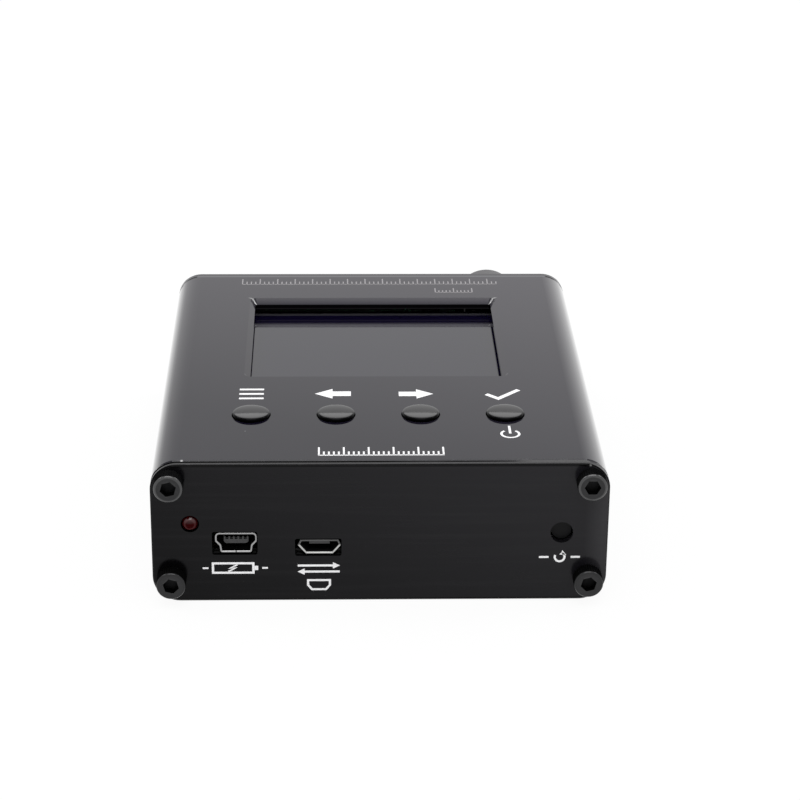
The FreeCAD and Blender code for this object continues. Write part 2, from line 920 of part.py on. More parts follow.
def small_screw(x, y, seat, outward):
    """A small cheese-head screw along Z with a driver slot."""
    top = seat + outward * small_screw_head
    head = rod(small_screw_head_diameter / 2, (x, y, seat), (0, 0, outward), small_screw_head)
    shank = rod(small_screw_diameter / 2, (x, y, seat), (0, 0, -outward), small_screw_length)
    slot = block(span(x, small_screw_head_diameter + past), span(y, small_screw_slot),
                 sorted((top - outward * small_screw_slot, top + outward * past)))
    return joined([head, shank]).cut(slot)


def display_board_screws():
    """The screws on top of the display board."""
    return group([small_screw(x, y, display_board_top, 1) for x, y in spacer_places])


def main_board_screws():
    """The screws under the main board."""
    return group([small_screw(x, y, main_board_bottom, -1) for x, y in spacer_places])


def link_socket():
    """The female half of the board link, on the main board."""
    top = display_board_bottom - link_bar - link_gap
    return link_block(main_board_top, top).cut(
        link_posts(link_pin + 2 * link_pin_gap, main_board_top + link_floor, top + past))


def link_header():
    """The bar that holds the pins, under the display board."""
    low = display_board_bottom - link_bar
    return link_block(low, display_board_bottom).cut(
        link_posts(link_pin, low - past, display_board_bottom + past))


def link_pins():
    """The square pins, from the socket's floor to just above the display board."""
    return link_posts(link_pin, main_board_top + link_floor + link_gap,
                      display_board_top + link_pin_above_board)


# ---------------------------------------------------------------- sockets in the front plate
def contact_places(middle, pitch):
    """The X of each of a socket's contacts."""
    first = middle - (contact_count - 1) / 2 * pitch
    return [first + step * pitch for step in range(contact_count)]


def charging_outline():
    """The charging socket's outline: straight sides above a narrower foot."""
    low = main_board_top
    high = low + charging_height
    return mirrored_outline(charging_x, [
        (charging_foot_width / 2, low, charging_bend_round),
        (charging_waist_width / 2, low + charging_foot_height, charging_bend_round),
        (charging_width / 2, high - charging_side_height, charging_bend_round),
        (charging_width / 2, high, charging_top_round)])


def charging_socket_shell():
    """The folded steel shell of the charging socket with its seam underneath."""
    rim = outline_wire(charging_outline(), socket_face)
    shell = carried(rim, charging_depth).cut(carried(rim.makeOffset2D(-sheet), charging_depth))
    seam = block(span(charging_x, charging_seam), (socket_face - past, socket_face + charging_depth + past),
                 (main_board_top - past, main_board_top + 2 * sheet))
    return shell.cut(seam)


def charging_tongue_top():
    """Height of the tongue's upper face."""
    return main_board_top + charging_tongue_above + charging_tongue


def charging_socket_insert():
    """The moulded insert: a block at the back and a grooved tongue towards the mouth."""
    back = socket_face + charging_depth
    rim = outline_wire(charging_outline(), back - insert_back)
    plug = carried(rim.makeOffset2D(-sheet - insert_gap), insert_back)
    tongue_y = (socket_face + charging_tongue_setback, back)
    tongue = block(span(charging_x, charging_tongue_width), tongue_y,
                   (main_board_top + charging_tongue_above, charging_tongue_top()))
    under = [edge for edge in edges_along(tongue, 1)
             if edge.BoundBox.ZMax < charging_tongue_top() - charging_tongue / 2]
    tongue = tongue.makeChamfer(charging_tongue_corner, under)
    grooves = [block(span(x, contact_groove), (tongue_y[0] - past, back - insert_back),
                     (charging_tongue_top() - contact_groove, charging_tongue_top() + past))
               for x in contact_places(charging_x, charging_contact_pitch)]
    return joined([plug, tongue.cut(group(grooves))])


def charging_socket_contacts():
    """The contacts on the floors of the tongue's grooves."""
    low = charging_tongue_top() - contact_groove
    front = socket_face + charging_tongue_setback + contact_setback
    back = socket_face + charging_depth - insert_back
    return group([block(span(x, contact_width), (front, back), (low, low + contact_thickness))
                  for x in contact_places(charging_x, charging_contact_pitch)])


def data_wire(grow, y):
    """The data socket's outline at one Y, grown on every side: wide shoulders, narrow foot."""
    high = main_board_top + data_height
    return outline_wire(mirrored_outline(data_x, [
        (data_foot_width / 2 + grow, main_board_top - grow, 0),
        (data_width / 2 + grow, high - data_shoulder, 0),
        (data_top_width / 2 + grow, high + grow, 0)]), y)


def data_form(grow):
    """The data socket's body and flared mouth as one solid, grown on every side."""
    throat = socket_face + data_flare_length
    back = socket_face + data_depth
    flare = Part.makeLoft([data_wire(grow + data_flare, socket_face), data_wire(grow, throat)], True, True)
    return joined([flare, carried(data_wire(grow, throat), back - throat)])


def data_socket_shell():
    """The steel shell of the data socket, flared at the mouth."""
    return data_form(0).cut(data_form(-sheet))


def data_tongue_bottom():
    """Height of the underside of the data socket's tongue."""
    return main_board_top + data_height - sheet - insert_gap - data_tongue


def data_socket_insert():
    """The moulded insert of the data socket with its tongue under the top wall."""
    back = socket_face + data_depth
    plug = carried(data_wire(-sheet - insert_gap, back - insert_back), insert_back)
    tongue = block(span(data_x, data_tongue_width), (socket_face + data_tongue_setback, back),
                   (data_tongue_bottom(), data_tongue_bottom() + data_tongue))
    return joined([plug, tongue])


def data_socket_contacts():
    """The contacts under the data socket's tongue."""
    high = data_tongue_bottom()
    front = socket_face + data_tongue_setback + contact_setback
    back = socket_face + data_depth - insert_back
    return group([block(span(x, contact_width), (front, back), (high - contact_thickness, high))
                  for x in contact_places(data_x, data_contact_pitch)])


# ---------------------------------------------------------------- charge lamp
def charge_lamp():
    """The 3 mm lamp: flange, straight body and domed tip that stands a little proud."""
    radius = lamp_diameter / 2
    dome = Part.makeSphere(radius, V(lamp_x, lamp_tip + radius, lamp_z))
    barrel = rod_y(radius, lamp_x, lamp_z, lamp_tip + radius, lamp_back)
    flange = rod_y(lamp_flange_diameter / 2, lamp_x, lamp_z, lamp_back - lamp_flange, lamp_back)
    return joined([barrel, dome, flange])


def lamp_leg_places():
    """Where the lamp's two legs pass through the main board."""
    return [(x, lamp_back + lamp_leg_run) for x in span(lamp_x, lamp_leg_spacing)]


def charge_lamp_legs():
    """Two square legs: straight back out of the lamp, one bend, and down through the board."""
    end = main_board_bottom - pin_below_board
    return group([square_wire(bent_path([V(x, lamp_back, lamp_z), V(x, y, lamp_z), V(x, y, end)],
                                        lamp_leg_bend), lamp_leg_width)
                  for x, y in lamp_leg_places()])


# ---------------------------------------------------------------- RF port
def jack_rod(diameter, y_low, y_high):
    """A cylinder on the RF port's axis."""
    return rod_y(diameter / 2, jack_x, jack_z, y_low, y_high)


def rf_jack_body():
    """The cast body: a block on the board, a threaded neck, a waist and the bayonet barrel."""
    casting = rounded_block(span(jack_x, jack_block_width), (jack_block_front, jack_block_rear),
                            (main_board_top, jack_z + jack_block_width / 2), jack_block_round, 1)
    waist_end = jack_thread_end + jack_waist_length
    body = joined([casting, jack_rod(jack_thread_diameter, jack_block_rear, jack_thread_end),
                   jack_rod(jack_waist_diameter, jack_thread_end, waist_end),
                   jack_rod(jack_barrel_diameter, waist_end, jack_mouth), jack_lugs(0)])
    body = body.cut(jack_rod(jack_barrel_bore, jack_thread_end, jack_mouth + past))
    throat_front = jack_pin_y - jack_contact_diameter
    throat = jack_rod(jack_insulator_diameter + 2 * jack_fit_gap, throat_front, jack_mouth)
    drop = rod_z(jack_drop_diameter / 2, jack_x, jack_pin_y, main_board_top - past, jack_z)
    return body.cut(throat).cut(drop)


def jack_lugs(gap):
    """The two bayonet lugs as one rod across the barrel, with a gap all round."""
    length = jack_lug_span + 2 * gap
    return rod(jack_lug_diameter / 2 + gap, (jack_x - length / 2, jack_mouth - jack_lug_from_mouth, jack_z),
               (1, 0, 0), length)


def rf_jack_insulator():
    """The dielectric sleeve round the centre contact."""
    start = jack_pin_y + jack_drop_diameter / 2
    sleeve = jack_rod(jack_insulator_diameter, start, jack_mouth - jack_insulator_setback)
    return sleeve.cut(jack_rod(jack_contact_diameter + 2 * jack_fit_gap, start - past, jack_mouth))


def rf_jack_contact():
    """The centre contact with its blind bore, and the pin that goes down through the board."""
    mouth = jack_mouth - jack_insulator_setback - jack_contact_setback
    stem = jack_rod(jack_contact_diameter, jack_pin_y - jack_pin_diameter / 2, mouth)
    stem = stem.cut(jack_rod(jack_contact_bore, mouth - jack_contact_bore_depth, mouth + past))
    pin = rod_z(jack_pin_diameter / 2, jack_x, jack_pin_y, main_board_bottom - pin_below_board, jack_z)
    return joined([stem, pin])


def rf_jack_nut():
    """The hexagonal nut that clamps the port to the rear plate."""
    nut = hexagon(jack_nut_across_flats, (jack_x, nut_seat, jack_z), (0, 1, 0), jack_nut)
    return nut.cut(jack_rod(jack_thread_diameter + 2 * jack_thread_gap, nut_seat - past, nut_face + past))


def rf_jack_washer():
    """The washer under the nut."""
    ring = jack_rod(jack_washer_diameter, rear_face, nut_seat)
    return ring.cut(jack_rod(jack_thread_diameter + 2 * jack_thread_gap, rear_face - past, nut_seat + past))


def rf_jack_cap():
    """The push-on dust cap: a cup over the barrel with a bevelled end and slots for the lugs."""
    diameter = jack_lug_span + 2 * (cap_lug_gap + cap_lug_wall)
    cup = jack_rod(diameter, cap_mouth, cap_tip)
    cup = cup.makeChamfer(cap_edge_chamfer, edges_at(cup, 1, cap_tip))
    bore = jack_rod(jack_barrel_diameter + 2 * cap_gap, cap_mouth - past, cap_bore_end)
    lug_room = jack_lugs(cap_lug_gap)
    slot_width = jack_lug_diameter + 2 * cap_lug_gap
    lug_way = block(span(jack_x, jack_lug_span + 2 * cap_lug_gap),
                    (cap_mouth - past, jack_mouth - jack_lug_from_mouth), span(jack_z, slot_width))
    return cup.cut(joined([bore, lug_room, lug_way]))


# ---------------------------------------------------------------- parts on the main board
def shield_box(grow, z_low, z_high):
    """The shield's outline, grown by a sheet thickness or a gap."""
    return block(span(shield_x, shield_width + 2 * grow), span(shield_y, shield_depth + 2 * grow),
                 (z_low, z_high))


def rf_shield_fence():
    """The soldered frame round the RF circuits with one dividing wall."""
    top = main_board_top + shield_height
    room = shield_box(-shield_sheet, main_board_top - past, top + past)
    fence = shield_box(0, main_board_top, top).cut(room)
    divider = block(span(shield_x, shield_width - shield_sheet), span(shield_y, shield_sheet),
                    (main_board_top, top))
    return joined([fence, divider])


def rf_shield_lid():
    """The snap-on lid over the shield's frame."""
    seat = main_board_top + shield_height
    lip = seat - shield_lip
    lid = shield_box(shield_gap + shield_sheet, lip, seat + shield_sheet)
    return lid.cut(shield_box(shield_gap, lip - past, seat))


def rf_chips():
    """The RF chips under the lid, two on each side of the dividing wall."""
    return group([block(span(shield_x + column * shield_width / 4, rf_chip_size),
                        span(shield_y + row * shield_depth / 4, rf_chip_size),
                        (main_board_top, main_board_top + rf_chip_height))
                  for column in (-1, 1) for row in (-1, 1)])


def processor_chip():
    """The processor."""
    return block(span(processor_x, processor_size), span(from_front(processor_from_front), processor_size),
                 (main_board_top, main_board_top + processor_height))


def charger_chip():
    """The battery charger chip, behind the charging socket."""
    return block(span(charging_x, charger_width), span(from_front(charger_from_front), charger_depth),
                 (main_board_top, main_board_top + charger_height))


# ---------------------------------------------------------------- battery
def battery_pad():
    """The adhesive foam pad that holds the cell to the case's floor."""
    return block(span(0, battery_width - 2 * pad_inset),
                 (battery_front + pad_inset, battery_rear - pad_inset), (wall, battery_bottom))


def battery_cell():
    """The flat pouch cell."""
    return rounded_block(span(0, battery_width), (battery_front, battery_rear),
                         (battery_bottom, battery_bottom + battery_thickness), battery_round, 1)


def battery_protection_board():
    """The narrow protection board across the cell's rear end."""
    return block(span(0, protection_width), (battery_rear, battery_rear + protection_depth),
                 span(battery_middle, protection_thickness))


def lead_offsets():
    """How far each lead lies outside the pair's middle line."""
    return span(0, lead_spacing)


def battery_lead(offset):
    """One lead: out of the protection board, round one bend and sideways into the plug."""
    x = lead_exit_x - offset
    y = lead_y + offset
    points = [V(x, lead_start, battery_middle), V(x, y, battery_middle), V(plug_start, y, battery_middle)]
    return round_wire(bent_path(points, lead_bend + offset), lead_diameter)


def battery_leads():
    """The two leads, side by side."""
    return group([battery_lead(offset) for offset in lead_offsets()])


def battery_plug():
    """The plug on the leads."""
    return block((plug_start, plug_end), span(lead_y, plug_width), span(battery_middle, plug_height))


def battery_socket():
    """The socket under the main board that takes the plug."""
    room_width = plug_width + 2 * plug_gap
    room_height = plug_height + 2 * plug_gap
    mouth = plug_socket_end - plug_socket_length
    body = block((mouth, plug_socket_end), span(lead_y, room_width + 2 * plug_socket_wall),
                 (battery_middle - room_height / 2 - plug_socket_wall, main_board_bottom))
    return body.cut(block((mouth - past, plug_socket_end - plug_socket_wall), span(lead_y, room_width),
                          span(battery_middle, room_height)))


# ---------------------------------------------------------------- write every node
def all_nodes():
    """Every node's name and its solids."""
    nodes = {
        "case_tube": case_tube(),
        "front_plate": front_plate(),
        "rear_plate": rear_plate(),
        "front_screws": front_screws(),
        "rear_screws": rear_screws(),
    }
    for name, x in key_places.items():
        nodes["key_cap_" + name] = key_cap(x)
        nodes["key_plunger_" + name] = key_plunger(x)
    for make in (reset_plunger, switch_bases, switch_covers, switch_domes, switch_legs,
                 display_polarizer, display_glass, display_backlight, display_driver_chip,
                 display_flex, display_pad, display_board, main_board, board_spacers,
                 display_board_screws, main_board_screws, link_socket, link_header, link_pins,
                 charging_socket_shell, charging_socket_insert, charging_socket_contacts,
                 data_socket_shell, data_socket_insert, data_socket_contacts,
                 charge_lamp, charge_lamp_legs, rf_jack_body, rf_jack_insulator, rf_jack_contact,
                 rf_jack_nut, rf_jack_washer, rf_jack_cap, rf_shield_fence, rf_shield_lid,
                 rf_chips, processor_chip, charger_chip, battery_cell, battery_protection_board,
                 battery_pad, battery_leads, battery_plug, battery_socket):
        nodes[make.__name__] = make()
    return nodes


def main():
    """Builds every node, reports it and writes its STEP file."""
    os.makedirs("parts", exist_ok=True)
    for name, shape in all_nodes().items():
        shape.exportStep("parts/" + name + ".step")
        box = shape.BoundBox
        print(f"{name:26s} solids {len(shape.Solids):2d} valid {shape.isValid()} volume {shape.Volume:9.2f} "
              f"x {box.XMin:7.2f} {box.XMax:7.2f} y {box.YMin:7.2f} {box.YMax:7.2f} "
              f"z {box.ZMin:6.2f} {box.ZMax:6.2f}")
    print("lead radii", [lead_bend + offset for offset in lead_offsets()])


main()
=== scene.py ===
# %% [markdown]
# # A pocket antenna analyzer
#
# The instrument is a black anodised tube with a flat plate screwed to each end. Its shapes come from
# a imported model, already at real size, so this notebook dresses that model: it places the camera,
# lights a white studio, gives every piece a finish, and adds the thin printed marks, the pressed and
# turned details, and the threads that the model leaves plain.

import math

import bmesh
import bpy
import numpy as np
from mathutils import Matrix, Vector


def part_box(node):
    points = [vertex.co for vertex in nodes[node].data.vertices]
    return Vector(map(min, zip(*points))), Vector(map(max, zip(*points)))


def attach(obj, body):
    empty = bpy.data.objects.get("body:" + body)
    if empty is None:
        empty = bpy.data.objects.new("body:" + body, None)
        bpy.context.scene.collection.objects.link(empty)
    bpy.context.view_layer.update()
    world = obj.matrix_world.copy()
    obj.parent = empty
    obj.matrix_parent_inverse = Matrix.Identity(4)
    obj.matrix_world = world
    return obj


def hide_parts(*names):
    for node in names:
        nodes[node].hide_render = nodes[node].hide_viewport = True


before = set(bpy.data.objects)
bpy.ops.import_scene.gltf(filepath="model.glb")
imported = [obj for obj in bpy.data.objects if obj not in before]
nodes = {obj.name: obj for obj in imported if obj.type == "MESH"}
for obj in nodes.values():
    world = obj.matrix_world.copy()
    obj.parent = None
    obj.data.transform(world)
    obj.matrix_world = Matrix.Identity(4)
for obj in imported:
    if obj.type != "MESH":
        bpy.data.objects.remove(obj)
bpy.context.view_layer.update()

# %% [markdown]
# ## The camera
#
# A product shot like this is taken from well back with a long lens, so that the case's sides stay
# nearly parallel. The camera is given by where it stands and by three turns. Its three axes are
# worked out from those turns and become the columns of its matrix, which leaves no guessing about
# the order of rotations.

# %% Camera
MM = 0.001
camera_place = Vector((-8.709, -427.843, 205.535)) * MM
yaw, pitch, roll = (math.radians(turn) for turn in (1.7933, 23.6261, 0.5581))

forward = Vector((math.sin(yaw) * math.cos(pitch), math.cos(yaw) * math.cos(pitch), -math.sin(pitch)))
level = Vector((math.cos(yaw), -math.sin(yaw), 0.0))
over = level.cross(forward)
right = math.cos(roll) * level + math.sin(roll) * over
upward = math.cos(roll) * over - math.sin(roll) * level

camera_data = bpy.data.cameras.new("studio_camera")
camera_data.sensor_fit = "HORIZONTAL"
camera_data.sensor_width = 36.0
camera_data.lens = 109.67
camera = bpy.data.objects.new("studio_camera", camera_data)
camera.matrix_world = Matrix((
    (right.x, upward.x, -forward.x, camera_place.x),
    (right.y, upward.y, -forward.y, camera_place.y),
    (right.z, upward.z, -forward.z, camera_place.z),
    (0.0, 0.0, 0.0, 1.0)))
bpy.context.scene.collection.objects.link(camera)
bpy.context.scene.camera = camera
bpy.context.scene.view_settings.view_transform = "Standard"
print("camera distance to the case:", round(camera_place.length, 3), "m")

# %% [markdown]
# ## Small helpers for node trees
#
# A material is a graph. A few helpers keep the graphs short to read. The first feeds a socket, with
# another socket or with a plain value, and the rest build on it, so that a node and everything that
# goes into it stand in one line.


# %% Node helpers
def put(tree, target, value):
    """Feeds an input socket: links a socket to it, or sets a plain value."""
    if isinstance(value, bpy.types.NodeSocket):
        tree.links.new(value, target)
    else:
        target.default_value = value


def add(tree, kind, **values):
    """Adds a node. Names are its properties, or its inputs when written as in_0, in_1 or in_Name."""
    node = tree.nodes.new(kind)
    for name, value in values.items():
        if name.startswith("in_"):
            key = name[3:]
            put(tree, node.inputs[int(key) if key.isdigit() else key.replace("_", " ")], value)
        else:
            setattr(node, name, value)
    return node


def math_node(tree, operation, first, *others, clamp=False):
    """Math nodes over two or more sockets or numbers, from the left. Returns the last output."""
    for other in others:
        first = add(tree, "ShaderNodeMath", operation=operation, use_clamp=clamp,
                    in_0=first, in_1=other).outputs[0]
    return first


def vector_node(tree, operation, **values):
    """A Vector Math node. Returns its vector, or its number where the operation gives a number."""
    node = add(tree, "ShaderNodeVectorMath", operation=operation, **values)
    return node.outputs["Value" if operation in ("DOT_PRODUCT", "LENGTH") else "Vector"]


def remap(tree, value, low, high, to_low=0.0, to_high=1.0, curve="LINEAR"):
    """Low becomes to_low and high becomes to_high, and values beyond them stay there."""
    return add(tree, "ShaderNodeMapRange", interpolation_type=curve, in_0=value, in_1=low, in_2=high,
               in_3=to_low, in_4=to_high).outputs[0]


def noise(tree, place, scale, detail, rough, distortion=0.0):
    """Soft noise round 0.5, read at a place."""
    return add(tree, "ShaderNodeTexNoise", in_Vector=place, in_Scale=scale, in_Detail=detail,
               in_Roughness=rough, in_Distortion=distortion).outputs["Fac"]


print("helpers ready")

# %% [markdown]
# ## Effects that several finishes share
#
# A real surface is never one flat colour. Its tone drifts a little, fingers leave it a little
# shinier here and duller there, its edges rub bright, and dust settles on it. Each of these is one
# node group, built once. Every finish places the groups with its own numbers. They put out only
# colours and numbers that change over the surface, and the shader stays in the material.


# %% Starting, ending and placing a group
def start_group(name, **inputs):
    """A new group with the input Place and further inputs. Returns it and its inputs' sockets.

    A plain value makes a number, three values make a vector and four make a colour."""
    group = bpy.data.node_groups.new(name, "ShaderNodeTree")
    for label, value in {"Place": (0.0, 0.0, 0.0), **inputs}.items():
        kind = "Float" if isinstance(value, float) else {3: "Vector", 4: "Color"}[len(value)]
        socket = group.interface.new_socket(label, in_out="INPUT", socket_type="NodeSocket" + kind)
        socket.default_value = value
    return group, group.nodes.new("NodeGroupInput").outputs


def end_group(group, label, source, kind="Float"):
    """Gives a group its one output, fed by a socket, and returns the group."""
    group.interface.new_socket(label, in_out="OUTPUT", socket_type="NodeSocket" + kind)
    put(group, group.nodes.new("NodeGroupOutput").inputs[label], source)
    print("group:", group.name)
    return group


def use_group(tree, group, place, **values):
    """Places a group in a material with its own values, and returns its output."""
    inputs = {"in_" + name: value for name, value in values.items()}
    return add(tree, "ShaderNodeGroup", node_tree=group, in_Place=place, **inputs).outputs[0]


# %% Tone drift: a base colour that wanders slightly in lightness
def make_tone_drift():
    """Colour times (1 - Amount .. 1 + Amount), by soft noise of the given scale per metre."""
    group, given = start_group("tone drift", Colour=(0.5, 0.5, 0.5, 1.0), Scale=60.0, Amount=0.08)
    centred = math_node(group, "SUBTRACT", noise(group, given["Place"], given["Scale"], 3.0, 0.55), 0.5)
    swing = math_node(group, "MULTIPLY", centred, 2.0, given["Amount"])
    factor = math_node(group, "ADD", swing, 1.0)
    scaled = vector_node(group, "SCALE", in_0=given["Colour"], in_Scale=factor)
    return end_group(group, "Colour", scaled, "Color")


tone_drift = make_tone_drift()


# %% Handling: roughness that varies where hands have been
def make_handling():
    """Roughness between Low and High, by soft noise."""
    group, given = start_group("handling", Scale=45.0, Low=0.3, High=0.4)
    touched = noise(group, given["Place"], given["Scale"], 4.0, 0.6, 0.6)
    blend = remap(group, touched, 0.3, 0.7, given["Low"], given["High"], "SMOOTHSTEP")
    return end_group(group, "Roughness", blend)


handling = make_handling()


# %% Grain: fine height noise, stretched along one direction for brushed or extruded metal
def make_grain():
    """Height is noise read at Place times Stretch."""
    group, given = start_group("grain", Stretch=(1.0, 1.0, 1.0), Scale=3000.0)
    stretched = vector_node(group, "MULTIPLY", in_0=given["Place"], in_1=given["Stretch"])
    return end_group(group, "Height", noise(group, stretched, given["Scale"], 2.0, 0.5))


grain = make_grain()


# %% Edge rub: a mask along the edges of a box, broken up by noise
def make_edge_rub():
    """Each axis gives 0 well inside the box and 1 at its face; two faces together make an edge."""
    group, given = start_group("edge rub", Middle=(0.0, 0.0, 0.0), Half=(0.04, 0.045, 0.0133), Reach=0.0006,
                               Scale=900.0, Wear=0.5)
    offset = vector_node(group, "SUBTRACT", in_0=given["Place"], in_1=given["Middle"])
    away = vector_node(group, "ABSOLUTE", in_0=offset)
    inward = vector_node(group, "SUBTRACT", in_0=given["Half"], in_1=away)
    shares = [math_node(group, "DIVIDE", part, given["Reach"])
              for part in add(group, "ShaderNodeSeparateXYZ", in_0=inward).outputs]
    near = [math_node(group, "SUBTRACT", 1.0, share, clamp=True) for share in shares]
    pairs = [math_node(group, "MULTIPLY", near[a], near[b]) for a, b in ((0, 1), (1, 2), (0, 2))]
    edge = math_node(group, "MAXIMUM", *pairs)
    broken = remap(group, noise(group, given["Place"], given["Scale"], 3.0, 0.7), 0.52, 0.72)
    return end_group(group, "Mask", math_node(group, "MULTIPLY", edge, broken, given["Wear"], clamp=True))


edge_rub = make_edge_rub()


# %% Dust: a sparse scatter of pale specks
def make_dust():
    """A cell of a Voronoi pattern shows a speck where its random value is over 1 - Share."""
    group, given = start_group("dust", Scale=500.0, Size=0.12, Share=0.05)
    cells = add(group, "ShaderNodeTexVoronoi", in_Vector=given["Place"], in_Scale=given["Scale"],
                in_Randomness=1.0).outputs
    speck = math_node(group, "LESS_THAN", cells["Distance"], given["Size"])
    random = add(group, "ShaderNodeSeparateColor", in_0=cells["Color"]).outputs[0]
    chosen = math_node(group, "GREATER_THAN", random, math_node(group, "SUBTRACT", 1.0, given["Share"]))
    return end_group(group, "Mask", math_node(group, "MULTIPLY", speck, chosen))


dust = make_dust()


# %% Slope: a factor that rises in a straight line along one direction
def make_slope():
    """Factor is 0 at Start and 1 at Stop metres along Axis, and stays there beyond them."""
    group, given = start_group("slope", Axis=(0.0, 1.0, 0.0), Start=-0.045, Stop=0.045)
    along = vector_node(group, "DOT_PRODUCT", in_0=given["Place"], in_1=given["Axis"])
    return end_group(group, "Factor", remap(group, along, given["Start"], given["Stop"]))


slope = make_slope()


# %% Spot: a mask round one point, or round a line along an axis
def make_spot():
    """Mask is 1 on Middle and falls to 0 at Radius metres. Axes leaves out an axis where it is 0."""
    group, given = start_group("spot", Middle=(0.0, 0.0, 0.0), Axes=(1.0, 1.0, 1.0), Radius=0.0005)
    offset = vector_node(group, "SUBTRACT", in_0=given["Place"], in_1=given["Middle"])
    kept = vector_node(group, "MULTIPLY", in_0=offset, in_1=given["Axes"])
    share = math_node(group, "DIVIDE", vector_node(group, "LENGTH", in_0=kept), given["Radius"])
    return end_group(group, "Mask", math_node(group, "SUBTRACT", 1.0, share, clamp=True))


spot = make_spot()

# %% [markdown]
# ## Building a finish from the groups
#
# Most finishes follow one recipe: a drifting colour, a roughness that handling has changed, and a
# fine grain pressed into the normal. The recipe is one class with the numbers as arguments, and its
# methods lay further layers over the colour. Anything constant over the surface, such as how
# metallic it is, is set on the shader itself. Places and depths are given in millimetres, and they
# start from the boxes of the model's own pieces.

# %% Axes, boxes, lengths and colours
X, Y, Z, LEFT = (1.0, 0.0, 0.0), (0.0, 1.0, 0.0), (0.0, 0.0, 1.0), (-1.0, 0.0, 0.0)


def box_of(name):
    """The lowest corner, the highest corner and the middle of a node's box, in millimetres."""
    low, high = (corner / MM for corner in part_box(name))
    return low, high, (low + high) / 2


def in_metres(*lengths):
    """Lengths in millimetres as a tuple in metres."""
    return tuple(length * MM for length in lengths)


def opaque(colour):
    """A colour, or a grey given by one number, with its alpha."""
    return (colour, colour, colour, 1.0) if isinstance(colour, float) else (*colour, 1.0)


def empty_tree(owner):
    """The node tree of a material or a world, cleared."""
    owner.use_nodes = True
    owner.node_tree.nodes.clear()
    return owner.node_tree


tube_front = box_of("case_tube")[0].y
half_width, tube_rear, lid = box_of("case_tube")[1]
plate_face = box_of("front_plate")[0].y
print("lid at", round(lid, 2), "mm, tube from", round(tube_front, 2), "to", round(tube_rear, 2), "mm")


# %% The shared recipe
class Finish:
    """A material in the making: tree, shader, the place that patterns read, and the tone so far."""

    def __init__(self, name, colour, low, high, drift=0.08, drift_scale=60.0, grain_scale=3000.0,
                 bump=0.05, stretch=(1.0, 1.0, 1.0), **constants):
        """Low and high bound the roughness. Constants go to the shader's sockets of the same name."""
        self.material = bpy.data.materials.new(name)
        self.tree = empty_tree(self.material)
        self.shader = add(self.tree, "ShaderNodeBsdfPrincipled")
        add(self.tree, "ShaderNodeOutputMaterial", in_Surface=self.shader.outputs["BSDF"])
        self.place = add(self.tree, "ShaderNodeTexCoord").outputs["Object"]
        self.tone = self.pattern(tone_drift, Colour=opaque(colour), Scale=drift_scale, Amount=drift)
        self.relief = add(self.tree, "ShaderNodeBump", in_Strength=bump, in_Distance=0.0001,
                          in_Height=self.pattern(grain, Scale=grain_scale, Stretch=stretch))
        self.feed("Base Color", self.tone)
        self.feed("Roughness", self.pattern(handling, Low=low, High=high))
        self.feed("Normal", self.relief.outputs["Normal"])
        for label, value in constants.items():
            self.feed(label.replace("_", " "), value)

    def feed(self, label, value):
        """Links or sets one of the shader's inputs."""
        put(self.tree, self.shader.inputs[label], value)

    def pattern(self, group, **values):
        """A shared group, read at this material's place."""
        return use_group(self.tree, group, self.place, **values)

    def times(self, *masks):
        """All masks at once."""
        return math_node(self.tree, "MULTIPLY", *masks)

    def either(self, *masks):
        """The strongest of the masks."""
        return math_node(self.tree, "MAXIMUM", *masks)

    def ramp(self, start, stop, axis=Y):
        """A mask that rises from 0 at start to 1 at stop, measured along an axis."""
        return self.pattern(slope, Axis=axis, Start=start * MM, Stop=stop * MM)

    def band(self, low, high, soft=0.02, axis=Y):
        """A mask that is on between low and high along an axis."""
        return self.times(self.ramp(low - soft, low + soft, axis), self.ramp(high + soft, high - soft, axis))

    def round_spot(self, middle, radius, axes=(1.0, 1.0, 1.0)):
        """A mask that fades from a middle outwards."""
        return self.pattern(spot, Middle=in_metres(*middle), Radius=radius * MM, Axes=axes)

    def rubbed_edges(self, half_length, reach, wear, scale=900.0):
        """A broken mask along the edges of a box as wide and high as the case."""
        half = in_metres(half_width, half_length, lid / 2)
        return self.pattern(edge_rub, Middle=in_metres(0.0, 0.0, lid / 2), Half=half, Reach=reach * MM,
                            Scale=scale, Wear=wear)

    def lay(self, mask, colour):
        """Mixes a colour over the tone wherever the mask is on."""
        self.tone = add(self.tree, "ShaderNodeMix", data_type="RGBA", in_0=mask, in_6=self.tone,
                        in_7=opaque(colour)).outputs[2]
        self.feed("Base Color", self.tone)

    def press(self, height, depth):
        """Adds a broader relief under the fine grain. Height runs from 0 to 1."""
        broad = add(self.tree, "ShaderNodeBump", in_Strength=1.0, in_Distance=depth * MM, in_Height=height)
        put(self.tree, self.relief.inputs["Normal"], broad.outputs["Normal"])


print("recipe ready")


# %% Dressing the model's pieces
def dress(material, names):
    """Puts a material into the slots of the nodes whose names stand in one string."""
    for name in names.split():
        for slot in nodes[name].material_slots:
            slot.material = material
    print("finish:", material.name, "on", names or "new pieces only")


def plain(name, *recipe, on="", **values):
    """A finish with no further layers, put on the nodes named in on."""
    material = Finish(name, *recipe, **values).material
    dress(material, on)
    return material


print("dressing ready")
